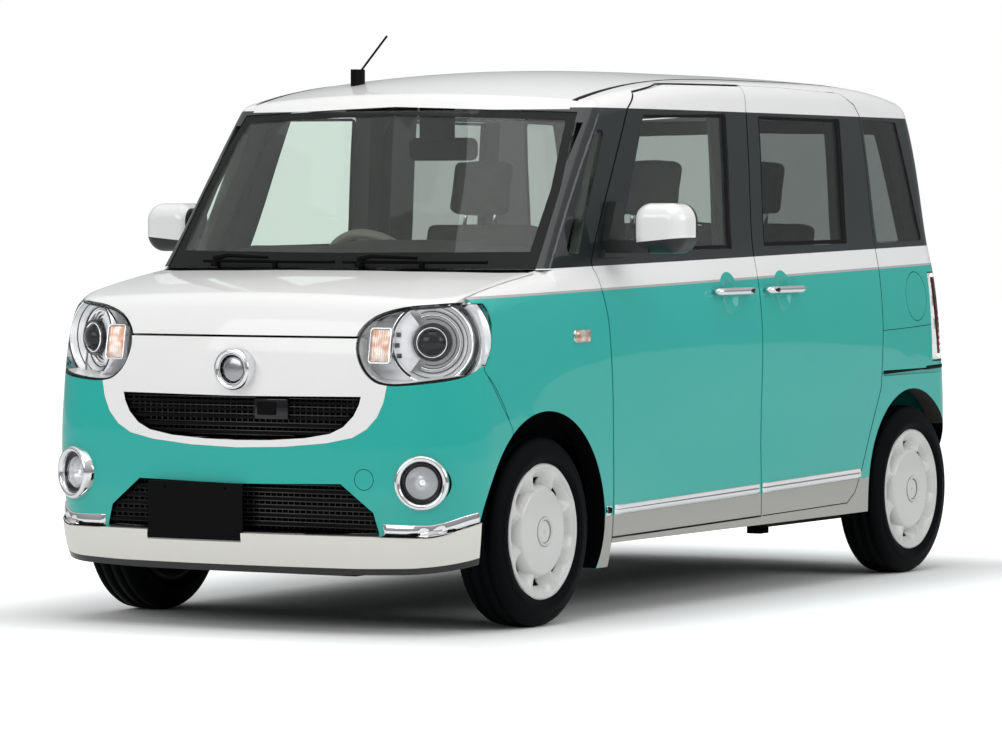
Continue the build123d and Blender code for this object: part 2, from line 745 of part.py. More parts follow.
# ---------------------------------------------------------------- floor and structure
floor_z = (236, 262)
firewall_y = -960
floor_half = sill_inner_x - seam
kick_up_y = 1120
load_floor_z = (420, 440)
rail_x = (300, 370)
rail_z = (180, 236)
tower_z = 862
tie_down_x = (rail_x[0] + rail_x[1]) / 2
tie_down_y = (-800, 950)
tie_down_radius = 10
tie_down_depth = 40
load_half = floor_half - 60
firewall_half = floor_half - 40
with BuildPart() as floor_pan:
    add(box(-floor_half, floor_half, firewall_y + fit, kick_up_y - 20 - fit, *floor_z))
    add(pair_box(*rail_x, kick_up_y, 1600, 370, load_floor_z[0]))
    add(box(-load_half, load_half, kick_up_y - 20, kick_up_y, floor_z[0], load_floor_z[1]))
    add(box(-load_half, load_half, kick_up_y - 20, 1592, *load_floor_z))
    add(cut_from(box(-20, 20, 1560, 1640, load_floor_z[0], 600),
                 (plan_loft(lower_sections, wall + 2 * fit),)))
    add(box(-firewall_half, firewall_half, firewall_y - 24, firewall_y, floor_z[0], 900))
    add(pair_box(420, 519, front_axle_y - 45, firewall_y - 20, tower_z, 890))
    add(arches, mode=Mode.SUBTRACT)
export(floor_pan.part, "floor_pan")

tie_down_block = (50, 60)
latch_zone = lower_envelope(wall + 2 * fit, bonnet_wall + 2 * fit)
with BuildPart() as chassis_rails:
    add(pair_box(*rail_x, -1570, kick_up_y, *rail_z))
    add(box(-rail_x[1], rail_x[1], -1570, -1540, rail_z[0], 800))
    add(cut_from(box(-20, 20, -1570, -1540, 780, 1000), (latch_zone,)))
    for x in (-tie_down_x, tie_down_x):
        for y in tie_down_y:
            with BuildSketch(Plane.XY.offset(rail_z[0] - fit)):
                with Locations((x, y)):
                    Rectangle(*tie_down_block)
                    Circle(tie_down_radius, mode=Mode.SUBTRACT)
            extrude(amount=-tie_down_depth)
export(chassis_rails.part, "chassis_rails")

with BuildPart() as undertray:
    add(box(-rail_x[1] + 5, rail_x[1] - 5, -1603, front_axle_y - 45, 165, rail_z[0] - fit))
export(undertray.part, "undertray")

cowl_edge = cowl_half - seam
cowl_plan = ((-cowl_edge, -1090), (-560, -1130), (-300, -1185), (0, -1200), (300, -1185),
             (560, -1130), (cowl_edge, -1090), (cowl_edge, firewall_y), (-cowl_edge, firewall_y))
with BuildPart() as cowl:
    add(box(seam - cowl_half, cowl_half - seam, -1205, firewall_y, 900 + seam, 980))
    add(plan_prism(cowl_plan, 980, belt_z - fit))
    add(box(-600, 600, -1100, firewall_y - 20, 930, belt_z), mode=Mode.SUBTRACT)
    add(plan_loft(lower_sections, wall + seam), mode=Mode.INTERSECT)
export(cowl.part, "cowl")

with BuildPart() as dashboard:
    with BuildSketch(Plane.YZ.offset(-570)):
        with BuildLine():
            Polyline(
                (firewall_y + fit, 1015), (-860, 1085), (-700, 1105), (-625, 1070),
                (-600, 960), (-640, 760), (-700, 640), (firewall_y + fit, 640), close=True,
            )
        make_face()
    extrude(amount=1140)
    fillet(dashboard.edges().filter_by(Axis.X), 20)
export(dashboard.part, "dashboard")

seat_place = (310, -60)                  # seat centre x, cushion centre y
cushion_size = (480, 480, 150)
back_size = (460, 590, 110)
headrest_size = (235, 190, 95)
headrest_z = 1190
back_foot_z = 600
back_lean = 0.25                         # how far the back leans per unit of height


def seat(x, y, width):
    with BuildPart() as body:
        with BuildSketch(Plane.XY.offset(470)):
            with Locations((x, y)):
                RectangleRounded(width, cushion_size[1], 60)
        extrude(amount=cushion_size[2])
        lean = Plane(origin=(x, y + 200, back_foot_z), x_dir=(1, 0, 0), z_dir=(0, back_lean, 1))
        with BuildSketch(lean):
            RectangleRounded(width - 20, back_size[2], 50)
        extrude(amount=back_size[1])
        top_y = y + 200 + (headrest_z - back_foot_z) * back_lean
        top = Plane(origin=(x, top_y, headrest_z), x_dir=(1, 0, 0), z_dir=(0, back_lean, 1))
        with BuildSketch(top):
            RectangleRounded(headrest_size[0], headrest_size[2], 45)
        extrude(amount=headrest_size[1])
        with BuildSketch(top.offset(-40)):
            with Locations((-55, 0), (55, 0)):
                Circle(7)
        extrude(amount=60)
    return body.part


def seat_base(x, y, top_z, bottom_z):
    return box(x - 200, x + 200, y - 180, y + 180, bottom_z, top_z)


with BuildPart() as front_seats:
    add(seat(seat_place[0], seat_place[1], cushion_size[0]))
    mirror(about=Plane.YZ)
export(front_seats.part, "front_seats")
with BuildPart() as rear_seat:
    add(seat(seat_place[0] - 55, 760, 480))
    mirror(about=Plane.YZ)
export(rear_seat.part, "rear_seat")
with BuildPart() as seat_frames:
    for side in (-1, 1):
        add(seat_base(side * seat_place[0], seat_place[1], 470 - fit, floor_z[1]))
        add(seat_base(side * (seat_place[0] - 55), 780, 470 - fit, floor_z[1]))
export(seat_frames.part, "seat_frames")

with BuildPart() as cabin_mirror:
    with BuildSketch(Plane.XZ.offset(620)):
        with Locations((60, 1400)):
            RectangleRounded(230, 70, 25)
    extrude(amount=-30)
    with BuildSketch(Plane.XY.offset(1430)):
        with Locations((60, -640)):
            Rectangle(90, 60)
    extrude(amount=200)
    add(upper_inner, mode=Mode.INTERSECT)
export(cabin_mirror.part, "cabin_mirror")

with BuildPart() as engine_block:
    add(box(-330, 330, -1500, -1080, rail_z[1] + fit, 780))
export(engine_block.part, "engine_block")

with BuildPart() as exhaust:
    add(rod(20, (-230, -900, 190), (0, 1, 0), 1900))
    with BuildSketch(Plane.XZ.offset(-300)):
        with Locations((-230, 190)):
            SlotOverall(138, 2 * (floor_z[0] - 190 - fit))
    extrude(amount=-520)
    add(rod(18, (-230, 900, 166), (0, 1, 0), 760))
export(exhaust.part, "exhaust")

hub_bore = 30
with BuildPart() as rear_axle:
    add(rod(38, (-540, rear_axle_y - 60, tyre_radius), (1, 0, 0), 1080))
    for side in (-1, 1):
        add(rod(60, (side * 520, rear_axle_y, tyre_radius), (side, 0, 0), 60))
        add(rod(hub_bore / 2 - fit, (side * 560, rear_axle_y, tyre_radius), (side, 0, 0), 90))
    add(pair_box(430, 470, 760, rear_axle_y, 175, floor_z[0] - fit))
    add(pair_box(430, 470, kick_up_y + 20, rear_axle_y, 175, tyre_radius))
export(rear_axle.part, "rear_axle")

knuckle_base_z = 190
with BuildPart() as front_suspension:
    for side in (-1, 1):
        add(box(min(side * 370.3, side * 590), max(side * 370.3, side * 590),
                front_axle_y - 25, front_axle_y + 25, 170, knuckle_base_z))
        add(rod(22, (side * 470, front_axle_y, 300), (0, 0, 1), tower_z - 300 - fit))
        add(box(min(side * 370.3, side * 490), max(side * 370.3, side * 490),
                front_axle_y - 20, front_axle_y + 20, 180, 330))
export(front_suspension.part, "front_suspension")


def knuckle(side):
    with BuildPart() as carrier:
        add(box(min(side * 575, side * 615), max(side * 575, side * 615),
                front_axle_y - 40, front_axle_y + 40, knuckle_base_z + fit, 350))
        add(rod(58, (side * 600, front_axle_y, tyre_radius), (side, 0, 0), 22))
        add(rod(hub_bore / 2 - fit, (side * 600, front_axle_y, tyre_radius), (side, 0, 0), 60))
    return carrier.part


for side, name in ((1, "left"), (-1, "right")):
    export(knuckle(side), f"knuckle_{name}")


cover_radius = 197.5
disc_radius = 126
cover_back = 48                          # how far the cover's back lies outside the wheel's middle
spoke_count = 8
cover_profile = (                        # (outwards along the axle, radius)
    (cover_back, 0), (74.5, 0), (73, 60), (69, disc_radius), (57, disc_radius + 6), (56, 150),
    (62, 182), (66.5, 188), (66.5, cover_radius), (63.6, cover_radius),
    (58.8, rim_radius - fit), (cover_back, rim_radius - fit),
)
spoke_half = ((disc_radius - 2, 20), (rim_radius - 2, 11))        # (radius, half width)


def axle_plane(side, y):
    """Drawn along the axle: x outwards, y is the radius."""
    return Plane(origin=(side * track_half, y, tyre_radius), x_dir=(side, 0, 0), z_dir=(0, -1, 0))


def wheel(side, y):
    """Steel rim with its moulded cover, hub inboard."""
    centre = (side * track_half, y, tyre_radius)
    plane = Plane(origin=centre, x_dir=(0, 1, 0), z_dir=(side, 0, 0))
    with BuildPart() as rim:
        with BuildSketch(plane.offset(-70)):
            Circle(rim_radius)
            Circle(rim_radius - 10, mode=Mode.SUBTRACT)
        extrude(amount=70 + cover_back)
        with BuildSketch(plane):
            Circle(rim_radius - 5)
        extrude(amount=12)
        with BuildSketch(axle_plane(side, y)):
            with BuildLine():
                Polyline(*cover_profile, close=True)
            make_face()
        revolve(axis=Axis(centre, (1, 0, 0)))
        with BuildSketch(plane.offset(cover_back + 2)):
            with PolarLocations(0, spoke_count):
                Polygon(*spoke_half, *[(r, -w) for r, w in reversed(spoke_half)], align=None)
        extrude(amount=17)
        with BuildSketch(plane.offset(cover_back - 2)):
            with PolarLocations(142, spoke_count, 180 / spoke_count):
                SlotOverall(38, 13, rotation=90)
        extrude(amount=30, mode=Mode.SUBTRACT)
        with BuildSketch(plane.offset(-20)):
            Circle(62)
        extrude(amount=20 + cover_back)
        with BuildSketch(plane.offset(-20)):
            Circle(hub_bore / 2)
        extrude(amount=40, mode=Mode.SUBTRACT)
    return rim.part


bead_half = tyre_width / 2 - 20
tyre_profile = (                         # half, (from the middle plane, radius)
    (bead_half, rim_radius), (bead_half + 5, cover_radius + 1), (tyre_width / 2, rim_radius + 50),
    (tyre_width / 2 - 6, tyre_radius - 22), (tyre_width / 2 - 14, tyre_radius - 9),
    (tyre_width / 2 - 27, tyre_radius),
)


def tyre(side, y):
    centre = (side * track_half, y, tyre_radius)
    with BuildPart() as ring:
        with BuildSketch(axle_plane(side, y)):
            with BuildLine():
                Polyline(*tyre_profile, *[(-a, r) for a, r in reversed(tyre_profile)], close=True)
            make_face()
        revolve(axis=Axis(centre, (1, 0, 0)))
    return ring.part


for axle_y, end in ((front_axle_y, "front"), (rear_axle_y, "rear")):
    for side, name in ((1, "left"), (-1, "right")):
        export(wheel(side, axle_y), f"wheel_{end}_{name}")
        export(tyre(side, axle_y), f"tyre_{end}_{name}")

wheel_centre = (-310, -400, 985)
wheel_tilt = 28
column_length = 290
steering_plane = Plane(origin=wheel_centre, x_dir=(1, 0, 0),
                       z_dir=(0, cos(radians(wheel_tilt)), sin(radians(wheel_tilt))))
with BuildPart() as steering_wheel:
    with BuildSketch(Plane(origin=wheel_centre, x_dir=(1, 0, 0),
                           z_dir=steering_plane.y_dir)):
        with Locations((175, 0)):
            Circle(15)
    revolve(axis=Axis(wheel_centre, steering_plane.z_dir))
    with BuildSketch(steering_plane.offset(-30)):
        Circle(55)
    extrude(amount=30)
    with BuildSketch(steering_plane.offset(-12)):
        Rectangle(346, 34)
        with Locations((0, -85)):
            Rectangle(40, 170)
    extrude(amount=14)
export(steering_wheel.part, "steering_wheel")

with BuildPart() as steering_column:
    with BuildSketch(steering_plane.offset(-30 - fit)):
        Circle(34)
    extrude(amount=-column_length)
    add(dashboard.part, mode=Mode.SUBTRACT)
export(steering_column.part, "steering_column")

antenna_foot = (-320, -490)
with BuildPart() as roof_antenna:
    with BuildSketch(Plane.XY.offset(1600)):
        with Locations(antenna_foot):
            Ellipse(16, 34)
    extrude(amount=52)
    add(rod(3.5, (antenna_foot[0], antenna_foot[1] + 10, 1642), (0, 0.81, 0.59), 200))
    add(upper_outer, mode=Mode.SUBTRACT)
export(roof_antenna.part, "roof_antenna")

with BuildPart() as front_wipers:
    for x0, y0, x1, y1 in ((-470, -1131, 30, -1185), (60, -1184, 520, -1118)):
        reach = sqrt((x1 - x0) ** 2 + (y1 - y0) ** 2)
        add(rod(5, (x0, y0, 1062), (x1 - x0, y1 - y0, 0), reach))
        x_post = x0 + 0.55 * (x1 - x0)
        y_post = y0 + 0.55 * (y1 - y0)
        add(rod(9, (x_post, y_post, belt_z), (0, 0, 1), 24))
    add(upper_outer, mode=Mode.SUBTRACT)
export(front_wipers.part, "front_wipers")
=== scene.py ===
import math

import bpy
from mathutils import Matrix, Vector
from mathutils.bvhtree import BVHTree


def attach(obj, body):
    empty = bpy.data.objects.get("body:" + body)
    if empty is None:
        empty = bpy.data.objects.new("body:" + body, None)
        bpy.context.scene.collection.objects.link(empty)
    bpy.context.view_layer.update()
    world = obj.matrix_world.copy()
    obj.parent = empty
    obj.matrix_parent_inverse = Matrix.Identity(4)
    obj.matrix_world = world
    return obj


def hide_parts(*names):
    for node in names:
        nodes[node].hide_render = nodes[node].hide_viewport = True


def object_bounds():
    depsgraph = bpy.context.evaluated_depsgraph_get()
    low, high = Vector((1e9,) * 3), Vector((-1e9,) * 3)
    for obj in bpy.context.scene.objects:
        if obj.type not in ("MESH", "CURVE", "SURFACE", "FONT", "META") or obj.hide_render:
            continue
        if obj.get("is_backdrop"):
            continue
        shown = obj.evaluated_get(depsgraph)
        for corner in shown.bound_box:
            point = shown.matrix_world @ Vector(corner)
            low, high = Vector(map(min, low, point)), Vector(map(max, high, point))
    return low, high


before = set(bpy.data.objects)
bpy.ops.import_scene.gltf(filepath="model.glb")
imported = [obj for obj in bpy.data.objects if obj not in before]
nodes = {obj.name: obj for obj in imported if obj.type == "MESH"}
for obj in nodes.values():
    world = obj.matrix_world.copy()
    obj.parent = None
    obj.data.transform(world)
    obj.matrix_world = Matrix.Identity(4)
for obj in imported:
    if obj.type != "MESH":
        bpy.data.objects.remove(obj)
cad_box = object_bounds()

# ---------------------------------------------------------------- driving values, metres
WHEELBASE = 2.455
FRONT_AXLE_Y = -1.137
REAR_AXLE_Y = FRONT_AXLE_Y + WHEELBASE
TYRE_RADIUS = 0.2785
SIDES = (("left", 1), ("right", -1))

# Lines along the body side: height at y = 0, and rise per metre towards the tail.
SPLIT_LINE = (0.995, 0.0205)        # white above, aqua below
SPLIT_HALF = 0.0035                 # half the thin grey line between them
BELT_LINE = (1.0615, 0.0175)        # bottom of the black window band
BAND_TOP = (1.519, -0.004)          # top of the black window band
CHROME_TOP = (0.350, 0.020)         # chrome strip along the door bottoms
CHROME_BOTTOM = (0.317, 0.0175)
SILL_SHADE_YS = (-0.80, 1.0)              # ends of the sill under the strip, painted a darker pearl as shade
SCOOP_YS = (0.005, 0.370)           # round hollows behind the door handles
SCOOP_Z = 0.960
SCOOP_RADIUS = 0.060
SCOOP_RIM_X = 0.7262                # the hollows lie inboard of this
MIRROR_CAP = (0.806, -0.648)        # the white cap: outboard of this x, ahead of this y
UNDER_GRILLE = (0.468, 0.300)       # black under the lower grille: half width and top
SKIRT = (-1.66, 0.177, 0.192)       # black skirt of the lip: front y, rise behind it, height

AQUA = (0.018, 0.405, 0.350)
WHITE = (0.83, 0.83, 0.82)
SPLIT_GREY = (0.42, 0.42, 0.42)
BAND = (0.012, 0.017, 0.017)
PEARL = (0.70, 0.69, 0.64)
# A darker copy of the pearl for the sill under the chrome strip: painted shade.
SILL_SHADE_PEARL = (0.35, 0.345, 0.315)
BLACK = (0.006, 0.006, 0.007)


def pair(*stems):
    """The left and the right name of each stem."""
    return [f"{stem}_{name}" for stem in stems for name, _ in SIDES]


# ---------------------------------------------------------------- material tools
SOCKETS = {"roughness": "Roughness", "metallic": "Metallic", "specular": "Specular IOR Level",
           "coat": "Coat Weight", "coat_roughness": "Coat Roughness", "ior": "IOR",
           "transmission": "Transmission Weight"}
CAR_PAINT = {"roughness": 0.40, "specular": 0.15, "coat": 0.75, "coat_roughness": 0.03}


def new_material(name):
    material = bpy.data.materials.new(name)
    material.use_nodes = True
    tree = material.node_tree
    return material, tree, tree.nodes["Principled BSDF"]


def settle(shader, **values):
    """Plain values, set on the shader by their short names."""
    for key, value in values.items():
        shader.inputs[SOCKETS[key]].default_value = value


def link(tree, a, b):
    tree.links.new(a, b)


def math_node(tree, operation, *values):
    """The result of an operation on numbers and sockets."""
    node = tree.nodes.new("ShaderNodeMath")
    node.operation = operation
    for socket, value in zip(node.inputs, values):
        if isinstance(value, (int, float)):
            socket.default_value = value
        else:
            link(tree, value, socket)
    return node.outputs[0]


def less(tree, a, b):
    """1 where a is under b, 0 elsewhere."""
    return math_node(tree, "LESS_THAN", a, b)


def all_of(tree, first, *others):
    """1 where every test is 1."""
    for other in others:
        first = math_node(tree, "MULTIPLY", first, other)
    return first


def mix_colour(tree, factor, a, b):
    node = tree.nodes.new("ShaderNodeMix")
    node.data_type = "RGBA"
    link(tree, factor, node.inputs[0])
    for socket, value in ((node.inputs[6], a), (node.inputs[7], b)):
        if isinstance(value, tuple):
            socket.default_value = (*value, 1)
        else:
            link(tree, value, socket)
    return node.outputs[2]


def object_xyz(tree):
    coords = tree.nodes.new("ShaderNodeTexCoord")
    split = tree.nodes.new("ShaderNodeSeparateXYZ")
    link(tree, coords.outputs["Object"], split.inputs[0])
    return coords.outputs["Object"], split.outputs


def noise(tree, vector, scale, detail=3.0):
    node = tree.nodes.new("ShaderNodeTexNoise")
    node.inputs["Scale"].default_value = scale
    node.inputs["Detail"].default_value = detail
    link(tree, vector, node.inputs["Vector"])
    return node.outputs["Fac"]


def bump(tree, shader, height, strength, distance):
    node = tree.nodes.new("ShaderNodeBump")
    node.inputs["Strength"].default_value = strength
    node.inputs["Distance"].default_value = distance
    link(tree, height, node.inputs["Height"])
    link(tree, node.outputs[0], shader.inputs["Normal"])


def tinted(tree, vector, colour, scale, spread):
    """The colour, a little lighter and darker in patches."""
    dark = tuple(c * (1 - spread) for c in colour)
    light = tuple(min(1.0, c * (1 + spread)) for c in colour)
    return mix_colour(tree, noise(tree, vector, scale), dark, light)


def tinted_material(name, colour, scale, spread, grain=(), **values):
    """One patchy colour. The grain is (noise scale, strength, depth) of a fine bump."""
    material, tree, shader = new_material(name)
    vector, _ = object_xyz(tree)
    link(tree, tinted(tree, vector, colour, scale, spread), shader.inputs["Base Color"])
    settle(shader, **values)
    if grain:
        bump(tree, shader, noise(tree, vector, grain[0]), *grain[1:])
    return material


def plain_material(name, colour, roughness, metallic=0.0, coat=0.0, grain=400.0, depth=0.0,
                   spread=0.03, specular=0.5):
    return tinted_material(name, colour, 6.0, spread, (grain, 0.5, depth) if depth else (),
                           roughness=roughness, metallic=metallic, coat=coat,
                           coat_roughness=0.04, specular=specular)


def glass_material(name, colour, coat=0.6):
    return tinted_material(name, colour, 2.0, 0.02, transmission=1.0, roughness=0.0, ior=1.05,
                           coat=coat, coat_roughness=0.01)


def below_line(tree, xyz, line):
    """1 below a raked side line, 0 above it."""
    base, slope = line
    return less(tree, xyz["Z"], math_node(tree, "MULTIPLY_ADD", xyz["Y"], slope, base))


def in_circle(tree, xyz, y):
    """1 inside the round hollow behind a door handle."""
    steps = [math_node(tree, "SUBTRACT", xyz[key], middle)
             for key, middle in (("Y", y), ("Z", SCOOP_Z))]
    squares = math_node(tree, "ADD", *(math_node(tree, "MULTIPLY", step, step) for step in steps))
    sunk = less(tree, math_node(tree, "ABSOLUTE", xyz["X"]), SCOOP_RIM_X)
    return all_of(tree, less(tree, squares, SCOOP_RADIUS ** 2), sunk)


def body_paint(name, banded):
    """Aqua below, white above, with a thin grey line between and the black window band."""
    material, tree, shader = new_material(name)
    vector, xyz = object_xyz(tree)
    aqua = tinted(tree, vector, AQUA, 900.0, 0.04)
    white = tinted(tree, vector, WHITE, 900.0, 0.015)
    middle, slope = SPLIT_LINE
    under_top = below_line(tree, xyz, (middle + SPLIT_HALF, slope))
    under_line = below_line(tree, xyz, (middle - SPLIT_HALF, slope))
    colour = mix_colour(tree, under_top, white, SPLIT_GREY)
    colour = mix_colour(tree, under_line, colour, aqua)
    if banded:
        above_belt = math_node(tree, "SUBTRACT", 1.0, below_line(tree, xyz, BELT_LINE))
        band = all_of(tree, above_belt, below_line(tree, xyz, BAND_TOP))
        colour = mix_colour(tree, band, colour, BAND)
        scoops = (in_circle(tree, xyz, y) for y in SCOOP_YS)
        colour = mix_colour(tree, math_node(tree, "MAXIMUM", *scoops), colour, aqua)
    # The sill under the chrome strip takes the darker pearl: painted shade.
    sill_shade_mask = all_of(tree, below_line(tree, xyz, CHROME_BOTTOM), less(tree, SILL_SHADE_YS[0], xyz["Y"]),
                  less(tree, xyz["Y"], SILL_SHADE_YS[1]))
    link(tree, mix_colour(tree, sill_shade_mask, colour, SILL_SHADE_PEARL), shader.inputs["Base Color"])
    settle(shader, **CAR_PAINT)
    return material


def masked(name, colour, test):
    """Paint that turns black where test(tree, xyz) is 1."""
    material, tree, shader = new_material(name)
    vector, xyz = object_xyz(tree)
    paint = tinted(tree, vector, colour, 900.0, 0.03)
    link(tree, mix_colour(tree, test(tree, xyz), paint, BLACK), shader.inputs["Base Color"])
    settle(shader, **CAR_PAINT)
    return material


def under_grille(tree, xyz):
    half_width, top = UNDER_GRILLE
    inside = less(tree, math_node(tree, "ABSOLUTE", xyz["X"]), half_width)
    return all_of(tree, inside, less(tree, xyz["Z"], top))


def lip_skirt(tree, xyz):
    """The lowest strip of the lip, rising to the rear as its bottom edge does."""
    front_y, slope, height = SKIRT
    rise = math_node(tree, "MULTIPLY", math_node(tree, "SUBTRACT", xyz["Y"], front_y), slope)
    edge = math_node(tree, "ADD", math_node(tree, "MAXIMUM", rise, 0.0), height)
    return less(tree, xyz["Z"], edge)


def amber_material():
    """Clear plastic with amber patches."""
    material, tree, shader = new_material("amber_clear")
    patches = noise(tree, object_xyz(tree)[0], 38.0, 1.0)
    patches = math_node(tree, "MULTIPLY_ADD", patches, 3.0, -1.0)
    patches.node.use_clamp = True
    link(tree, mix_colour(tree, patches, (0.72, 0.66, 0.60), (0.50, 0.22, 0.12)),
         shader.inputs["Base Color"])
    settle(shader, roughness=0.15, metallic=0.4, coat=0.8)
    return material


def mirror_material():
    """White cap on a black shell and base."""
    material, tree, shader = new_material("mirror_paint")
    _, xyz = object_xyz(tree)
    out = math_node(tree, "ABSOLUTE", xyz["X"])
    edge = math_node(tree, "MULTIPLY_ADD", out, 0.09, 1.046)       # bottom edge of the cap
    cap = all_of(tree, less(tree, MIRROR_CAP[0], out), less(tree, edge, xyz["Z"]),
                 less(tree, xyz["Y"], MIRROR_CAP[1]))
    link(tree, mix_colour(tree, cap, (0.008, 0.008, 0.009), WHITE), shader.inputs["Base Color"])
    link(tree, math_node(tree, "MULTIPLY_ADD", cap, -0.12, 0.42), shader.inputs["Roughness"])
    link(tree, cap, shader.inputs["Coat Weight"])
    return material


paint_banded = body_paint("two_tone_paint", True)
paint_plain = body_paint("two_tone_paint_low", False)
bumper_paint = masked("bumper_paint", AQUA, under_grille)
lip_paint = masked("lip_paint", PEARL, lip_skirt)
mirror_paint = mirror_material()
white_paint = plain_material("white_paint", WHITE, 0.40, coat=0.75, spread=0.015, specular=0.15)
aqua_paint = plain_material("aqua_paint", AQUA, 0.40, coat=0.75, specular=0.15)
black_gloss = plain_material("black_gloss", BLACK, 0.12, coat=0.5, specular=0.2)
black_plastic = plain_material("black_plastic", (0.003, 0.003, 0.0035), 0.5, depth=0.0001,
                               specular=0.06)
dash_plastic = plain_material("dash_plastic", (0.022, 0.021, 0.020), 0.7, specular=0.15)
chrome = plain_material("chrome", (0.82, 0.82, 0.83), 0.06, metallic=1.0, spread=0.02)
cast_metal = plain_material("cast_metal", (0.03, 0.03, 0.03), 0.6, metallic=0.6, depth=0.0003)
steel = plain_material("bare_steel", (0.35, 0.34, 0.33), 0.35, metallic=1.0, depth=0.0002)
underbody = plain_material("underbody", (0.003, 0.003, 0.003), 0.8, specular=0.03)
rubber = plain_material("tyre_rubber", (0.004, 0.005, 0.006), 0.62, specular=0.12)
wheel_white = plain_material("wheel_white", (0.60, 0.605, 0.59), 0.35, coat=0.6)
seat_cloth = plain_material("seat_cloth", (0.052, 0.052, 0.046), 0.9, depth=0.0002, grain=500,
                            specular=0.1)
leather = plain_material("grey_leather", (0.25, 0.23, 0.2), 0.5, depth=0.0004, grain=300)
green_glass = glass_material("green_glass", (0.80, 0.88, 0.83))
dark_glass = glass_material("dark_glass", (0.36, 0.39, 0.38))
clear_lens = glass_material("clear_lens", (0.97, 0.98, 0.98), coat=0.35)
fog_glass = glass_material("fog_glass", (0.95, 0.96, 0.96))
red_lens = plain_material("red_lens", (0.45, 0.01, 0.01), 0.1, coat=1.0)
amber_clear = amber_material()
inner_trim = plain_material("inner_trim", (0.050, 0.050, 0.046), 0.8, specular=0.1)
headliner = plain_material("headliner", (0.30, 0.30, 0.28), 0.9, specular=0.1)
seam_black = plain_material("seam_black", (0.008, 0.008, 0.008), 0.8, specular=0.2)
rubber_black = plain_material("rubber_black", (0.004, 0.004, 0.004), 0.6, specular=0.1)
frit_black = plain_material("frit_black", (0.004, 0.005, 0.005), 0.4, specular=0.15)
rim_black = plain_material("rim_black", (0.01, 0.01, 0.01), 0.5, depth=0.0004)
tread_rubber = tinted_material("tread_rubber", (0.0015, 0.002, 0.0025), 9.0, 0.15,
                               (260.0, 0.3, 0.0004), roughness=0.58, specular=0.05)
chrome_soft = plain_material("chrome_soft", (0.66, 0.66, 0.67), 0.16, metallic=1.0, spread=0.05)
plate_white = plain_material("lamp_plate_white", (0.60, 0.61, 0.63), 0.3, coat=0.5)
lens_dark = plain_material("projector_glass", (0.002, 0.004, 0.004), 0.03, coat=0.2, specular=0.2)
lamp_shade = plain_material("lamp_shade", (0.55, 0.56, 0.57), 0.22, metallic=0.55, spread=0.10)
lamp_silver = plain_material("lamp_silver", (0.86, 0.87, 0.88), 0.25, metallic=0.35, spread=0.08)
lamp_white = plain_material("lamp_white", (0.70, 0.71, 0.71), 0.25, metallic=0.5)
emblem_grey = plain_material("emblem_disc", (0.36, 0.37, 0.38), 0.22, metallic=0.9, coat=0.6)
grille_black = plain_material("grille_black", (0.012, 0.012, 0.013), 0.35, coat=0.3)


def dress(material, *names):
    for name in names:
        mesh = nodes[name].data
        mesh.materials.clear()
        mesh.materials.append(material)


dress(paint_banded, *pair("body_side", "front_door", "sliding_door"), "tailgate")
dress(paint_plain, *pair("front_fender"), "rear_bumper", "fuel_lid")
dress(bumper_paint, "front_bumper")
dress(white_paint, "roof_panel", "bonnet", "front_garnish")
dress(mirror_paint, *pair("door_mirror"))
dress(lip_paint, "front_lip")
dress(black_plastic, "grilles", "front_wipers", "roof_antenna", "cabin_mirror", "number_plate")
dress(clear_lens, "headlamps", "fog_lamps", "tail_lamps")
dress(green_glass, "windscreen", *pair("front_door_glass"))
dress(dark_glass, "side_glass", "tailgate_glass")
dress(chrome, "sliding_door_handles", *pair("door_handle"), "tailgate_trim")
dress(dash_plastic, "dashboard", "steering_column")
dress(seat_cloth, "front_seats", "rear_seat")
dress(cast_metal, "engine_block", *pair("knuckle"), "rear_axle", "front_suspension")
dress(steel, "exhaust")
dress(underbody, "floor_pan", "chassis_rails", "undertray", "seat_frames", "cowl")
dress(leather, "steering_wheel")
dress(wheel_white, *pair("wheel_front", "wheel_rear"))
dress(rubber, *pair("tyre_front", "tyre_rear"))
nodes["tailgate_trim"].data.materials.append(aqua_paint)


# ---------------------------------------------------------------- mesh tools
def add_object(name, data):
    thing = bpy.data.objects.new(name, data)
    bpy.context.scene.collection.objects.link(thing)
    return thing


def make_piece(name, points, faces, material, body, smooth=True):
    mesh = bpy.data.meshes.new(name)
    mesh.from_pydata([tuple(p) for p in points], [], faces)
    mesh.materials.append(material)
    for polygon in mesh.polygons:
        polygon.use_smooth = smooth
    piece = add_object(name, mesh)
    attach(piece, body)
    return piece


def apply_modifier(piece, kind, **settings):
    modifier = piece.modifiers.new(kind.lower(), kind)
    for key, value in settings.items():
        setattr(modifier, key, value)
    bpy.context.view_layer.objects.active = piece
    bpy.ops.object.modifier_apply(modifier=modifier.name)
    return piece


def join_parts(name, parts, material, body, smooth=True):
    """Several (points, faces) lists made into one piece."""
    points, faces = [], []
    for part_points, part_faces in parts:
        start = len(points)
        points += [tuple(p) for p in part_points]
        faces += [tuple(start + k for k in face) for face in part_faces]
    return make_piece(name, points, faces, material, body, smooth)


def grid_faces(rows, columns, closed=False):
    faces = []
    for i in range(rows - 1):
        for j in range(columns if closed else columns - 1):
            k = (j + 1) % columns
            faces.append((i * columns + j, i * columns + k, (i + 1) * columns + k,
                          (i + 1) * columns + j))
    return faces


def turns(count):
    """Equal steps round a circle."""
    return [2 * math.pi * k / count for k in range(count)]


def on_axis(axis, along, u, v):
    """The point so far along an axis, at (u, v) square to it."""
    return {"X": (along, u, v), "Y": (u, along, v), "Z": (u, v, along)}[axis]


def lathe(profile, centre, axis="X", side=1, segments=96):
    """Profile of (distance along the axis, radius), turned about an axis through centre."""
    points = []
    for along, radius in profile:
        for turn in turns(segments):
            offset = on_axis(axis, side * along, radius * math.cos(turn), radius * math.sin(turn))
            points.append(tuple(c + o for c, o in zip(centre, offset)))
    return points, grid_faces(len(profile), segments, True)


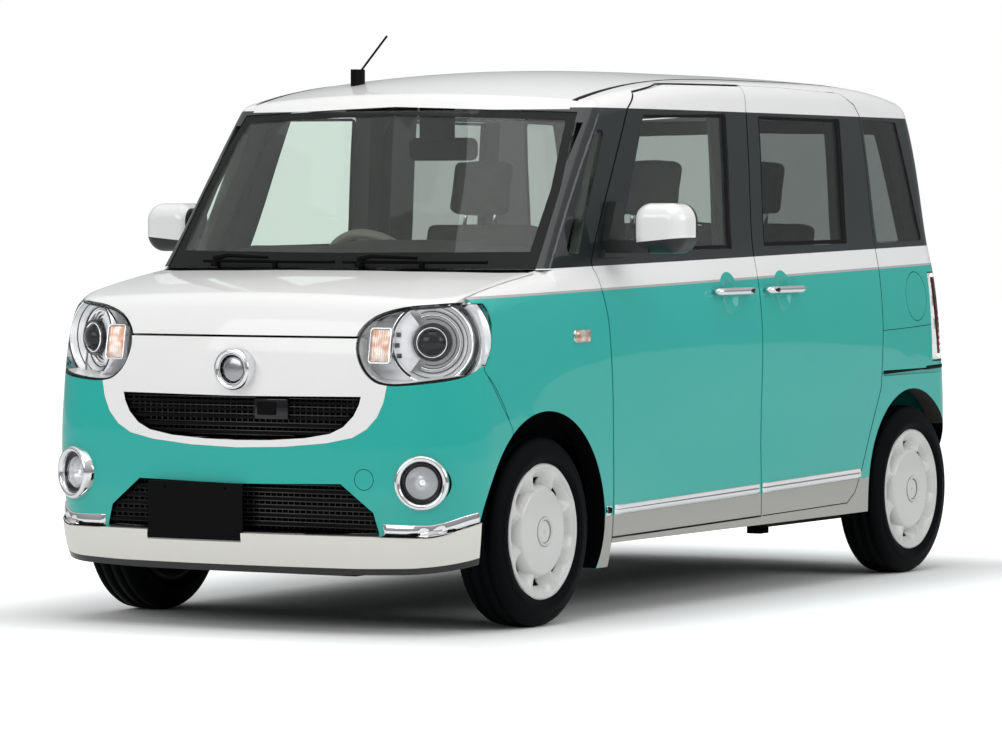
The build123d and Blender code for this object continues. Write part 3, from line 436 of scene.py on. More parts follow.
def tube(path, radius, segments):
    """A round tube along a list of points. The radius is one number, or one for each point."""
    path = [Vector(p) for p in path]
    last = len(path) - 1
    points = []
    for i, place in enumerate(path):
        along = (path[min(i + 1, last)] - path[max(i - 1, 0)]).normalized()
        across = (across - along * across.dot(along) if i else along.orthogonal()).normalized()
        over = along.cross(across)
        size = radius[i] if isinstance(radius, (list, tuple)) else radius
        points += [place + size * (math.cos(turn) * across + math.sin(turn) * over)
                   for turn in turns(segments)]
    ends = [tuple(reversed(range(segments))), tuple(range(last * segments, (last + 1) * segments))]
    return points, grid_faces(last + 1, segments, True) + ends


def block(low, high):
    (x0, y0, z0), (x1, y1, z1) = low, high
    points = [(x, y, z) for x in (x0, x1) for y in (y0, y1) for z in (z0, z1)]
    faces = [(0, 1, 3, 2), (4, 6, 7, 5), (0, 4, 5, 1), (2, 3, 7, 6), (0, 2, 6, 4), (1, 5, 7, 3)]
    return points, faces


# ---------------------------------------------------------------- wheels
TRACK_HALF = 0.650
COVER_RADIUS = 0.1975
COVER_DISC_RADIUS = 0.138
DISC_FLAT_RADIUS = 0.118
SLOT_RADIUS = 0.160          # the slots between the teeth end here
HUB_RING_RADIUS = 0.041
HUB_CAP_RADIUS = 0.036
COVER_FACE = 0.0665          # how far disc and teeth stand out of the wheel's middle plane
COVER_FLOOR = 0.030
TOOTH_COUNT = 8
TOOTH_SHARE = 0.66           # share of the pitch that a tooth takes


def smoothstep(low, high, value):
    t = min(1.0, max(0.0, (value - low) / (high - low)))
    return t * t * (3 - 2 * t)


def off_tooth(turn):
    """0 on the middle of a tooth, 1 midway between two."""
    return abs(turn * TOOTH_COUNT / (2 * math.pi) % 1.0 - 0.5) * 2


def cover_height(radius, turn):
    """How far the wheel cover stands out of the wheel's middle plane."""
    if radius < DISC_FLAT_RADIUS:
        disc = COVER_FACE + 0.006 * (1 - (radius / DISC_FLAT_RADIUS) ** 2)
    else:
        drop = min(1.0, (radius - DISC_FLAT_RADIUS) / (COVER_DISC_RADIUS - DISC_FLAT_RADIUS))
        disc = COVER_FACE - 0.036 * (1 - math.sqrt(1 - drop * drop))
    floor = COVER_FLOOR + 0.033 * smoothstep(COVER_DISC_RADIUS + 0.006, 0.189, radius)
    gable = max(0.0, 1 - off_tooth(turn) / TOOTH_SHARE) ** 0.85 * smoothstep(0.125, 0.134, radius)
    height = max(disc, floor + gable * (COVER_FACE - floor))
    lip = smoothstep(0.184, 0.190, radius) * smoothstep(0.1985, 0.1950, radius)
    return height * (1 - lip) + lip * 0.0685


def wheel_cover(name, side, axle_y, body):
    rings = [0.0005, 0.010, 0.020, 0.030, 0.0345, 0.0355, 0.0365, 0.0405, 0.0415, 0.0425]
    rings += [0.0435 + 0.0026 * k for k in range(1, 60)]
    rings = [r for r in rings if r < COVER_RADIUS] + [COVER_RADIUS]
    steps = 256
    points = []
    for radius in rings:
        hub = -0.0018 if radius < HUB_CAP_RADIUS else 0.0030 if radius < HUB_RING_RADIUS else 0.0
        points += [(side * (TRACK_HALF + (cover_height(radius, turn) + hub)),
                    axle_y + radius * math.cos(turn), TYRE_RADIUS + radius * math.sin(turn))
                   for turn in turns(steps)]
    half_steps = turns(2 * steps)[1::2]
    faces = [face for face in grid_faces(len(rings), steps, True)
             if not (COVER_DISC_RADIUS < rings[face[0] // steps] < SLOT_RADIUS
                     and off_tooth(half_steps[face[0] % steps]) > TOOTH_SHARE)]
    cover = make_piece(name, points, faces, wheel_white, body)
    return apply_modifier(cover, "SOLIDIFY", thickness=0.0025, offset=-side)


HALF_TYRE = (             # distance from the middle plane, radius
    (-0.050, 0.176), (-0.0575, 0.178), (-0.060, 0.190), (-0.0635, 0.1985), (-0.070, 0.2055),
    (-0.0762, 0.214), (-0.0775, 0.224), (-0.0765, 0.236),
    (-0.0745, 0.238), (-0.0735, 0.247), (-0.068, 0.263), (-0.0605, 0.2715), (-0.054, 0.2755),
    (-0.040, 0.2775), (-0.0395, 0.2700), (-0.032, 0.2700), (-0.0315, 0.2780), (-0.006, 0.2785),
    (-0.0055, 0.2710),
)
TYRE_PROFILE = (*HALF_TYRE, *((-along, radius) for along, radius in reversed(HALF_TYRE)),
                HALF_TYRE[0])
RIM_PROFILE = (           # distance from the middle plane, radius
    (-0.062, 0.190), (-0.070, 0.186), (-0.066, 0.172), (-0.030, 0.165), (0.012, 0.168),
    (0.028, 0.160), (0.030, 0.120), (0.018, 0.080), (0.012, 0.050), (0.012, 0.020), (0.0, 0.020),
    (0.0, 0.060), (0.008, 0.100), (0.020, 0.150), (0.006, 0.160), (-0.030, 0.158),
    (-0.062, 0.164), (-0.062, 0.190),
)
for end, axle_y in (("front", FRONT_AXLE_Y), ("rear", REAR_AXLE_Y)):
    for name, side in SIDES:
        body = f"wheel_{end}_{name}"
        hub = (side * TRACK_HALF, axle_y, TYRE_RADIUS)
        cover = wheel_cover(f"wheel_cover_{end}_{name}", side, axle_y, body)
        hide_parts(f"wheel_{end}_{name}")
        make_piece(f"wheel_rim_{end}_{name}", *lathe(RIM_PROFILE, hub, side=side), rim_black, body)
        tyre = make_piece(f"tyre_tread_{end}_{name}",
                          *lathe(TYRE_PROFILE, hub, side=side, segments=128), tread_rubber, body)
        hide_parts(f"tyre_{end}_{name}")


# ---------------------------------------------------------------- laying detail on the panels
def cad_surface(*names):
    """The named CAD pieces as one surface that rays can be cast at."""
    points, faces = [], []
    for name in names:
        node = nodes[name]
        start = len(points)
        points += [node.matrix_world @ v.co for v in node.data.vertices]
        faces += [[start + k for k in polygon.vertices] for polygon in node.data.polygons]
    return BVHTree.FromPolygons(points, faces)


def caster(surface, axis, sign=1):
    """Casts a flat place at the surface: (y, z) for axis X, (x, z) for Y and (x, y) for Z."""
    ray = Vector(on_axis(axis, -sign, 0, 0))

    def cast(u, v):
        hit, normal, _, _ = surface.ray_cast(Vector(on_axis(axis, sign * 2.5, u, v)), ray)
        if hit is not None and normal.dot(ray) > 0:
            normal = -normal
        return hit, normal
    return cast


def resample(path, step=0.012):
    """Flat points every step along a polyline, with its corners kept."""
    out = [Vector(path[0])]
    for a, b in zip(path, path[1:]):
        a, b = Vector(a), Vector(b)
        count = max(1, round((b - a).length / step))
        out += [a.lerp(b, k / count) for k in range(1, count + 1)]
    return out


def lay(name, rows, cast, material, body, closed=False):
    """A sheet through rows of flat places (u, v, lift), laid on the surface."""
    points = []
    flat = [place for row in rows for place in row]
    found = next(cast(u, v) for u, v, _ in flat if cast(u, v)[0] is not None)
    for u, v, lift in flat:
        hit, normal = cast(u, v)
        if hit is not None:
            found = hit, normal
        points.append(found[0] + found[1] * lift)
    return make_piece(name, points, grid_faces(len(rows), len(rows[0]), closed), material, body)


def line(name, path, cast, material, body, half_width, lift=0.0004, gap=0.0):
    """A thin strip along a flat path. gap: how far to each side of an open gap to feel for it."""
    path = resample(path)
    last = len(path) - 1
    places = []
    for i, place in enumerate(path):
        along = (path[min(i + 1, last)] - path[max(i - 1, 0)]).normalized()
        square = Vector((-along.y, along.x))
        hits = [cast(*(place + square * reach)) for reach in ((gap, -gap) if gap else (0.0,))]
        hits = [(hit, normal) for hit, normal in hits if hit is not None]
        if hits:
            spot = sum((hit for hit, _ in hits), Vector()) / len(hits)
            places.append((spot, sum((normal for _, normal in hits), Vector()).normalized()))
    last = len(places) - 1
    points = []
    for i, (spot, normal) in enumerate(places):
        along = (places[min(i + 1, last)][0] - places[max(i - 1, 0)][0]).normalized()
        across = along.cross(normal).normalized() * half_width
        for reach, height in ((-1, -0.0006), (-0.7, lift), (0.7, lift), (1, -0.0006)):
            points.append(spot + across * reach + normal * height)
    return make_piece(name, points, grid_faces(len(places), 4), material, body)


def rounded(low, high, radius, steps=6):
    """Flat outline of a rounded rectangle, from its low and high corners."""
    (u0, v0), (u1, v1) = low, high
    out = []
    for cu, cv, start in ((u1 - radius, v1 - radius, 0), (u0 + radius, v1 - radius, 90),
                          (u0 + radius, v0 + radius, 180), (u1 - radius, v0 + radius, 270)):
        for k in range(steps + 1):
            turn = math.radians(start + 90 * k / steps)
            out.append((cu + radius * math.cos(turn), cv + radius * math.sin(turn)))
    return out


def pad(name, outline, profile, cast, material, body):
    """Rings of an outline laid on a surface: profile lists (scale about the middle, lift)."""
    mu = sum(u for u, _ in outline) / len(outline)
    mv = sum(v for _, v in outline) / len(outline)
    rows = [[(mu + (u - mu) * scale, mv + (v - mv) * scale, lift) for u, v in outline]
            for scale, lift in profile]
    return lay(name, rows, cast, material, body, closed=True)


SKIN = ("body_side", "front_door", "front_door_glass", "sliding_door", "front_fender")
side_cast = {
    side: caster(cad_surface(*(f"{stem}_{name}" for stem in SKIN), "side_glass", "rear_bumper",
                             "front_bumper"), "X", side)
    for name, side in SIDES
}
top_cast = caster(cad_surface("roof_panel", "windscreen", *pair("body_side")), "Z")
front_cast = caster(cad_surface("bonnet", "front_bumper", "front_garnish", "front_lip", "headlamps",
                                *pair("front_fender"), "windscreen"), "Y", -1)
glass_cast = caster(cad_surface("windscreen"), "Y", -1)
rear_cast = caster(cad_surface("tailgate", "tailgate_glass", "rear_bumper", *pair("body_side")),
                   "Y")


def side_z(side_line, y):
    return side_line[0] + side_line[1] * y


# ---------------------------------------------------------------- inner faces of the panels
ARCHES = ((FRONT_AXLE_Y, 0.3524), (REAR_AXLE_Y, 0.3364))
SEEN_WITHIN = 0.003          # a ray that ends this near a face's middle sees the face


def line_inner_faces(name, material):
    """The second material on every face of a panel that can't be seen from outside it."""
    node = nodes[name]
    surface = cad_surface(name)
    ways = [("X", 1), ("X", -1), ("Y", 1), ("Y", -1), ("Z", 1)]
    middle_x = sum(v.co.x for v in node.data.vertices) / len(node.data.vertices)
    if abs(middle_x) > 0.3:
        ways.remove(("X", -1 if middle_x > 0 else 1))
    looks = [(axis, caster(surface, axis, sign)) for axis, sign in ways]
    node.data.materials.append(material)
    for polygon in node.data.polygons:
        spot = node.matrix_world @ polygon.center
        x, y, z = spot
        flat = {"X": (y, z), "Y": (x, z), "Z": (x, y)}
        hits = [look(*flat[axis])[0] for axis, look in looks]
        seen = any(hit is not None and (hit - spot).length < SEEN_WITHIN for hit in hits)
        in_arch = any(math.hypot(y - axle, z - TYRE_RADIUS) < radius for axle, radius in ARCHES)
        if in_arch or not seen:
            polygon.material_index = len(node.data.materials) - 1


for panel in (*pair("body_side", "front_door", "sliding_door"), "tailgate"):
    line_inner_faces(panel, inner_trim)
line_inner_faces("roof_panel", headliner)
for panel in (*pair("front_fender"), "bonnet", "front_bumper", "rear_bumper", "front_lip",
              "front_garnish"):
    line_inner_faces(panel, underbody)
# The small panes ahead of the front doors are tinted like the windscreen.
nodes["side_glass"].data.materials.append(green_glass)
for polygon in nodes["side_glass"].data.polygons:
    if polygon.center.y < -0.6:
        polygon.material_index = 1


# ---------------------------------------------------------------- shut lines, rubber, window frame
DOOR_GAP_Y = 0.210
SLIDING_SEAM = (
    (DOOR_GAP_Y, 0.250), (0.824, 0.258), (0.880, 0.290), (0.930, 0.360), (0.995, 0.480),
    (1.075, 0.623), (1.092, 0.820), (1.100, 1.080), (1.037, 1.517), (1.002, 1.552),
    (0.909, 1.589), (0.490, 1.600), (DOOR_GAP_Y, 1.602),
)
DOOR_TOP_SEAM = ((DOOR_GAP_Y, 1.602), (-0.242, 1.600), (-0.441, 1.572), (-0.515, 1.521))
FENDER_SEAM = ((-1.474, 0.757), (-1.430, 0.716), (-1.380, 0.655), (-1.3363, 0.585))
QUARTER_SEAM = ((1.092, 0.812), (1.300, 0.817), (1.523, 0.825))
RAIL_SLOT = ((1.085, 0.672), (1.600, 0.684))
# Rubber round the door windows: the four flat corners (y, z) of each strip.
FRONT_RUBBER = (((0.045, 1.094), (0.045, 1.506), (0.070, 1.506), (0.070, 1.094)),
                ((-0.630, 1.087), (0.068, 1.093), (0.068, 1.104), (-0.618, 1.100)),
                ((-0.430, 1.502), (0.068, 1.510), (0.068, 1.500), (-0.434, 1.493)))
REAR_RUBBER = (((0.855, 1.102), (0.847, 1.503), (0.878, 1.503), (0.888, 1.102)),
               ((0.292, 1.098), (0.886, 1.102), (0.886, 1.114), (0.292, 1.110)),
               ((0.292, 1.506), (0.880, 1.503), (0.880, 1.494), (0.292, 1.497)),
               ((0.292, 1.098), (0.292, 1.504), (0.300, 1.504), (0.300, 1.098)))
RUBBER_PROFILE = ((0, -0.0005), (0.15, 0.0022), (0.85, 0.0022), (1, -0.0005))  # share across, lift
DITCH_PROFILE = ((-1, -0.001), (-0.8, 0.0012), (0.8, 0.0012), (1, -0.001))
for name, side in SIDES:
    cast = side_cast[side]
    door = f"front_door_{name}"
    line(f"sliding_door_seam_{name}", SLIDING_SEAM, cast, seam_black, "body", 0.0022, gap=0.006)
    line(f"door_top_seam_{name}", DOOR_TOP_SEAM, cast, seam_black, door, 0.0030, gap=0.007)
    line(f"fender_seam_{name}", FENDER_SEAM, cast, seam_black, "body", 0.0014)
    line(f"quarter_seam_{name}", QUARTER_SEAM, cast, seam_black, "body", 0.0014)
    line(f"rail_slot_{name}", RAIL_SLOT, cast, black_plastic, "body", 0.0065, 0.0018)
    for part, body, strips in (("front", door, FRONT_RUBBER), ("rear", "body", REAR_RUBBER)):
        for number, (a, b, c, d) in enumerate(strips):
            last = min(len(resample(edge, 0.02)) for edge in ((a, b), (d, c))) - 1
            low, high = ([Vector(p).lerp(Vector(q), k / last) for k in range(last + 1)]
                         for p, q in ((a, b), (d, c)))
            rows = [[(*p.lerp(q, share), lift) for p, q in zip(low, high)]
                    for share, lift in RUBBER_PROFILE]
            lay(f"window_rubber_{part}_{number}_{name}", rows, cast, rubber_black, body)

    # Black roof ditch, wide at the windscreen and narrow behind it.
    ys = [-0.680 + k * 0.0375 for k in range(60)]
    rows = [[(side * 0.566 + share * (0.0035 + 0.0075 * smoothstep(-0.15, -0.66, y)), y, lift)
             for y in ys] for share, lift in DITCH_PROFILE]
    lay(f"roof_ditch_{name}", rows, top_cast, rubber_black, "body")

FRIT_OUTER = ((-0.648, 1.043), (-0.630, 1.278), (-0.589, 1.506), (0.0, 1.524), (0.589, 1.506),
              (0.630, 1.278), (0.648, 1.043), (0.0, 1.043), (-0.648, 1.043))
FRIT_INNER = ((-0.612, 1.092), (-0.603, 1.278), (-0.566, 1.484), (0.0, 1.502), (0.566, 1.484),
              (0.603, 1.278), (0.612, 1.092), (0.0, 1.088), (-0.612, 1.092))
outer, inner = ([Vector(a).lerp(Vector(b), step / 14) for a, b in zip(path, path[1:])
                 for step in range(14)] for path in (FRIT_OUTER, FRIT_INNER))
rows = [[(*p.lerp(q, share), 0.0006) for p, q in zip(outer, inner)] for share in (0, 0.5, 1)]
lay("windscreen_border", rows, glass_cast, frit_black, "body", closed=True)


# ---------------------------------------------------------------- chrome strips, handles, markers
STRIP_PROFILE = ((0.0, -0.001), (0.04, 0.004), (0.30, 0.0075), (0.55, 0.008), (0.86, 0.0045),
                 (0.90, 0.007), (0.97, 0.006), (1.0, -0.001))      # share of the height, lift
MARKER = rounded((-0.975, 0.825), (-0.878, 0.863), 0.014)
HANDLE_LENGTH = 0.254
for name, side in SIDES:
    cast = side_cast[side]
    door = f"front_door_{name}"
    for part, body, start, stop in (("fender", "body", -0.781, -0.743),
                                    ("front_door", door, -0.731, 0.204),
                                    ("sliding_door", "body", 0.216, 0.930)):
        ys = [p.x for p in resample(((start, 0), (stop, 0)), 0.02)]
        rows = []
        for share, lift in STRIP_PROFILE:
            row = []
            for y in ys:
                low, high = side_z(CHROME_BOTTOM, y), side_z(CHROME_TOP, y)
                at_end = y in (ys[0], ys[-1])
                row.append((y, low + share * (high - low), -0.001 if at_end else lift))
            rows.append(row)
        lay(f"chrome_strip_{part}_{name}", rows, cast, chrome, body)
    for number, y in enumerate((-0.776, -0.764)):
        notch = rounded((y - 0.004, 0.312), (y + 0.004, 0.330), 0.002, 2)
        pad(f"strip_notch_{number}_{name}", notch, ((1, 0.006), (0.8, 0.010), (0.05, 0.010)),
            cast, black_plastic, "body")
    pad(f"side_marker_rim_{name}", MARKER,
        ((1.0, -0.001), (1.0, 0.004), (0.94, 0.006), (0.90, 0.0045)), cast, chrome_soft, "body")
    pad(f"side_marker_lens_{name}", MARKER,
        ((0.92, 0.003), (0.86, 0.0075), (0.6, 0.0105), (0.3, 0.0115), (0.04, 0.012)),
        cast, amber_clear, "body")

    # Chrome pull handles: a rounded bar that dips to the door at both ends, and its thumb button.
    for part, rider, node, start in (("front", door, f"door_handle_{name}", -0.111),
                                     ("sliding", "body", "sliding_door_handles", 0.231)):
        path, sizes = [], []
        for k in range(29):
            t = k / 28
            dip = abs(2 * t - 1) ** 6
            path.append((side * (0.7525 - 0.012 * dip), start + HANDLE_LENGTH * t, SCOOP_Z))
            sizes.append(0.0118 * math.sqrt(max(0.04, 1 - abs(2 * t - 1) ** 14)))
        low_x, high_x = sorted((side * 0.728, side * 0.748))
        feet = [block((low_x, start + reach - 0.012, SCOOP_Z - 0.007),
                      (high_x, start + reach + 0.012, SCOOP_Z + 0.007))
                for reach in (0.022, 0.232)]
        bar = join_parts(f"pull_handle_{part}_{name}", [tube(path, sizes, 20), *feet], chrome, rider)
        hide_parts(node)
    for part, rider, node, y in (("front", door, f"door_handle_{name}", 0.100),
                                 ("sliding", "body", "sliding_door_handles", 0.270)):
        pad(f"handle_button_{part}_{name}", rounded((y - 0.010, 0.953), (y + 0.010, 0.967), 0.006),
            ((1.0, -0.0005), (1.0, 0.0010), (0.7, 0.0016), (0.05, 0.0018)),
            caster(cad_surface(node), "X", side), black_gloss, rider)


# ---------------------------------------------------------------- lamps and emblem
LAMP_CENTRE = Vector((0.588, -1.546, 0.838))
LAMP_AXIS = Vector((0.4226, -0.9063, 0.0))
FOG_CENTRE = Vector((0.604, -1.631, 0.441))
FOG_AXIS = Vector((0.39, -0.9208, 0.0))
headlamp_surface = cad_surface("headlamps")
nose_surface = cad_surface("headlamps", "bonnet", "front_bumper", "front_garnish",
                           *pair("front_fender"))


def axis_frame(axis):
    """Across (outboard) and up, square to a lamp's axis."""
    up = Vector((0, 0, 1))
    across = up.cross(axis).normalized()
    return across, axis.cross(across).normalized()


def turned(profile, centre, axis, start=0.0, stop=360.0, segments=72):
    """Profile of (depth along the axis, radius), turned about the axis, all round or in part."""
    across, up = axis_frame(axis)
    whole = stop - start >= 360.0
    count = segments if whole else segments + 1
    points = []
    for depth, radius in profile:
        for k in range(count):
            turn = math.radians(start + (stop - start) * k / segments)
            points.append(centre + axis * depth + across * (radius * math.cos(turn))
                          + up * (radius * math.sin(turn)))
    return points, grid_faces(len(profile), count, whole)


def mirrored(points, side):
    return [Vector((side * p.x, p.y, p.z)) for p in points]


def under_lens(points, surface, axis, gap=0.005):
    """Points that stand closer than a gap to a lens come back under it."""
    out = []
    for p in points:
        hit, _, _, _ = surface.ray_cast(p + axis * 0.5, -axis)
        if hit is not None and (p - hit).dot(axis) > -gap:
            p = hit - axis * gap
        out.append(p)
    return out


LAMP_PARTS = (            # name, material, start and stop degrees, profile of (depth, radius)
    ("ring_outer", chrome, 0, 360,
     ((-0.052, 0.100), (-0.004, 0.112), (0.0, 0.116), (-0.003, 0.120), (-0.052, 0.122))),
    ("steps", lamp_silver, 0, 360,
     ((-0.004, 0.112), (-0.010, 0.106), (-0.014, 0.105), (-0.018, 0.099), (-0.022, 0.098),
      (-0.026, 0.092), (-0.030, 0.091), (-0.034, 0.085), (-0.038, 0.084), (-0.046, 0.066),
      (-0.050, 0.050))),
    ("plate", plate_white, 126, 234,
     ((-0.020, 0.055), (-0.014, 0.060), (-0.012, 0.080), (-0.009, 0.103), (-0.012, 0.108),
      (-0.024, 0.109))),
    ("plate_edge", black_gloss, 122, 238,
     ((-0.012, 0.1095), (0.001, 0.1110), (0.001, 0.1165), (-0.012, 0.1185))),
    ("inner_arc", black_gloss, -75, 75,
     ((-0.030, 0.0925), (-0.025, 0.0935), (-0.026, 0.0965), (-0.032, 0.0975))),
    ("inner_glow", chrome, -115, 115,
     ((-0.040, 0.074), (-0.030, 0.0755), (-0.029, 0.0790), (-0.040, 0.0805))),
    ("barrel_rim", black_gloss, 0, 360,
     ((-0.050, 0.056), (-0.006, 0.054), (0.0, 0.050), (-0.004, 0.045), (-0.040, 0.043))),
    ("projector_ring", chrome, 0, 360,
     ((-0.030, 0.0445), (-0.004, 0.0445), (-0.001, 0.042), (-0.008, 0.040), (-0.030, 0.040))),
    ("projector_glass", lens_dark, 0, 360,
     ((-0.012, 0.0405), (-0.002, 0.039), (0.007, 0.033), (0.015, 0.022), (0.019, 0.010),
      (0.0195, 0.0005))),
    ("outer_arc", black_gloss, -62, 52,
     ((-0.010, 0.124), (-0.006, 0.126), (-0.006, 0.132), (-0.014, 0.134))),
    ("side_reflector", lamp_shade, -70, 62,
     ((-0.060, 0.122), (-0.022, 0.134), (-0.016, 0.150), (-0.020, 0.166))),
    ("ridge_wide", black_gloss, -128, 118,
     ((-0.020, 0.1005), (-0.014, 0.1005), (-0.014, 0.1020), (-0.020, 0.1025))),
    ("ridge_narrow", black_gloss, -118, 112,
     ((-0.034, 0.0860), (-0.028, 0.0860), (-0.028, 0.0875), (-0.034, 0.0880))),
    ("ridge_inner", black_gloss, -110, 106,
     ((-0.046, 0.0655), (-0.038, 0.0655), (-0.038, 0.0670), (-0.046, 0.0675))),
)
FOG_PARTS = (             # name, material, profile of (depth, radius)
    ("trim", chrome, ((-0.040, 0.0795), (0.000, 0.079), (0.007, 0.0750), (0.009, 0.070),
                      (0.006, 0.063), (-0.004, 0.060), (-0.030, 0.058))),
    ("well", black_gloss, ((-0.006, 0.0605), (-0.012, 0.056), (-0.014, 0.050), (-0.010, 0.0465),
                           (-0.020, 0.046))),
    ("reflector", lamp_shade, ((-0.010, 0.0465), (-0.020, 0.040), (-0.024, 0.038), (-0.030, 0.030),
                               (-0.034, 0.028), (-0.040, 0.016), (-0.044, 0.001))),
    ("bulb_cap", chrome, ((-0.044, 0.012), (-0.024, 0.012), (-0.018, 0.010), (-0.016, 0.004),
                          (-0.0158, 0.0004))),
    ("dome", fog_glass, ((-0.010, 0.0468), (-0.006, 0.044), (0.000, 0.034), (0.0035, 0.018),
                         (0.0045, 0.0005))),
)
LED_CELLS = ((-0.0945, 0.022), (-0.0985, -0.008), (-0.0925, -0.038))     # across, up
LED_HALF = 0.0065
FLUTE_REACH = 0.043
LENS_INSET = 0.0015


def lens_housing(name, node, side, axis, depth, border, inside):
    """A bucket behind a lens: the lens's outer face, pulled in at its edge and pushed back."""
    mesh = nodes[node].data
    front = cad_surface(node)
    chosen = [p for p in mesh.polygons
              if p.normal.dot(axis) > 0.12 and p.center.x * side > 0
              and (front.ray_cast(p.center + axis * 0.6, -axis)[0] - p.center).length < 0.004]
    merged, faces, edges = {}, [], {}
    for polygon in chosen:
        keys = [tuple(round(c, 5) for c in mesh.vertices[v].co) for v in polygon.vertices]
        faces.append([merged.setdefault(key, len(merged)) for key in keys])
    corners = [Vector(key) for key in merged]
    for face in faces:
        for a, b in zip(face, face[1:] + face[:1]):
            edges.setdefault(frozenset((a, b)), []).append((a, b))
    rim = [found[0] for found in edges.values() if len(found) == 1]
    rim_points = {a for edge in rim for a in edge}
    middle = sum((corners[k] for k in rim_points), Vector()) / len(rim_points)

    def layer(back, pull):
        out = []
        for k, p in enumerate(corners):
            inward = middle - p
            inward -= axis * inward.dot(axis)
            step = inward.normalized() * pull if k in rim_points else Vector()
            out.append(p + step - axis * back)
        return out
    inner = LENS_INSET + border
    stations = ((0.0020, LENS_INSET), (0.0032, inner), (0.012, inner + 0.001),
                (depth, inner + 0.010))
    points = [p for back, pull in stations for p in layer(back, pull)]
    size = len(corners)
    walls = [(level * size + a, level * size + b, (level + 1) * size + b, (level + 1) * size + a)
             for level in range(3) for a, b in rim]
    backs = [tuple(3 * size + k for k in face) for face in faces]
    piece = make_piece(name, points, walls + backs, rubber_black, "body", smooth=False)
    piece.data.materials.append(inside)
    for polygon in list(piece.data.polygons)[2 * len(rim):]:       # the deepest wall and the back
        polygon.material_index = 1


for name, side in SIDES:
    axis = Vector((side * LAMP_AXIS.x, LAMP_AXIS.y, 0))
    lens_housing(f"headlamp_bucket_{name}", "headlamps", side, axis, 0.118, 0.0055, lamp_silver)
    for part, material, start, stop, profile in LAMP_PARTS:
        points, faces = turned(profile, LAMP_CENTRE, LAMP_AXIS, start, stop)
        points = under_lens(mirrored(points, side), nose_surface, axis)
        make_piece(f"headlamp_{part}_{name}", points, faces, material, "body")
    across, up = axis_frame(LAMP_AXIS)
    cells = []
    for out, high in LED_CELLS:
        middle = LAMP_CENTRE + across * out + up * high - LAMP_AXIS * 0.0085
        corners = [middle + across * (LED_HALF * a) + up * (LED_HALF * b) + LAMP_AXIS * h
                   for h in (-0.003, 0.002) for a, b in ((-1, -1), (1, -1), (1, 1), (-1, 1))]
        cells.append((under_lens(mirrored(corners, side), headlamp_surface, axis, 0.0045),
                      [(0, 1, 2, 3), (4, 5, 6, 7), *grid_faces(2, 4, True)]))
    join_parts(f"headlamp_led_cells_{name}", cells, black_gloss, "body", False)

    # Turn unit inboard of the projector: a ribbed amber-tinted box in a chrome surround.
    front = caster(headlamp_surface, "Y", -1)
    ring = [(side * u, v) for u, v in rounded((0.428, 0.784), (0.490, 0.880), 0.008)]
    pad(f"turn_unit_rim_{name}", ring,
        ((1.10, -0.030), (1.10, -0.010), (1.04, -0.008), (1.0, -0.012), (0.98, -0.030)),
        front, chrome, "body")
    rows = [[(side * (0.430 + 0.058 * k / 32), 0.786 + 0.092 * j / 12,
              -0.016 + 0.0022 * math.cos(math.pi * k / 2)) for j in range(13)] for k in range(33)]
    lay(f"turn_unit_lens_{name}", rows, front, amber_clear, "body")

    # Fog lamp: chrome trim ring, stepped reflector, clear dome on fluted glass.
    for part, material, profile in FOG_PARTS:
        points, faces = turned(profile, FOG_CENTRE, FOG_AXIS)
        points = mirrored(points, side)
        piece = make_piece(f"fog_lamp_{part}_{name}", points, faces, material, "body")
    across, up = axis_frame(FOG_AXIS)
    bars = []
    for k in range(7):
        out = -0.036 + 0.012 * k
        half = math.sqrt(max(0.0, FLUTE_REACH ** 2 - out ** 2))
        path = [FOG_CENTRE + across * out + up * (half * t) - FOG_AXIS * (0.012 + 0.004 * t * t)
                for t in (-1, -0.5, 0, 0.5, 1)]
        bars.append(tube(mirrored(path, side), 0.0013, 6))
    join_parts(f"fog_lamp_flutes_{name}", bars, clear_lens, "body")
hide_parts("fog_lamps")

EMBLEM = (
    ("ring", chrome, ((-0.034, 0.061), (0.000, 0.0605), (0.006, 0.057), (0.0075, 0.052),
                      (0.006, 0.047), (0.000, 0.0435), (-0.012, 0.042))),
    ("disc", emblem_grey, ((-0.014, 0.0432), (-0.010, 0.042), (-0.004, 0.030), (-0.0015, 0.015),
                           (-0.001, 0.0005))),
)
for part, material, profile in EMBLEM:
    make_piece(f"emblem_{part}", *turned(profile, Vector((0, -1.692, 0.758)), Vector((0, -1, 0))),
               material, "body")


# ---------------------------------------------------------------- grilles, corner strips, wipers
GRILLE_Y = -1.636
MESH_PITCH = 0.020
MESH_RADIUS = 0.0016
UPPER_GRILLE = [(0.400, 0.680), (0.388, 0.642), (0.308, 0.574), (0.0, 0.557), (-0.308, 0.574),
                (-0.388, 0.642), (-0.400, 0.680)]
LOWER_GRILLE = [(0.342, 0.428), (0.444, 0.352), (0.462, 0.296), (-0.462, 0.296), (-0.444, 0.352),
                (-0.342, 0.428)]


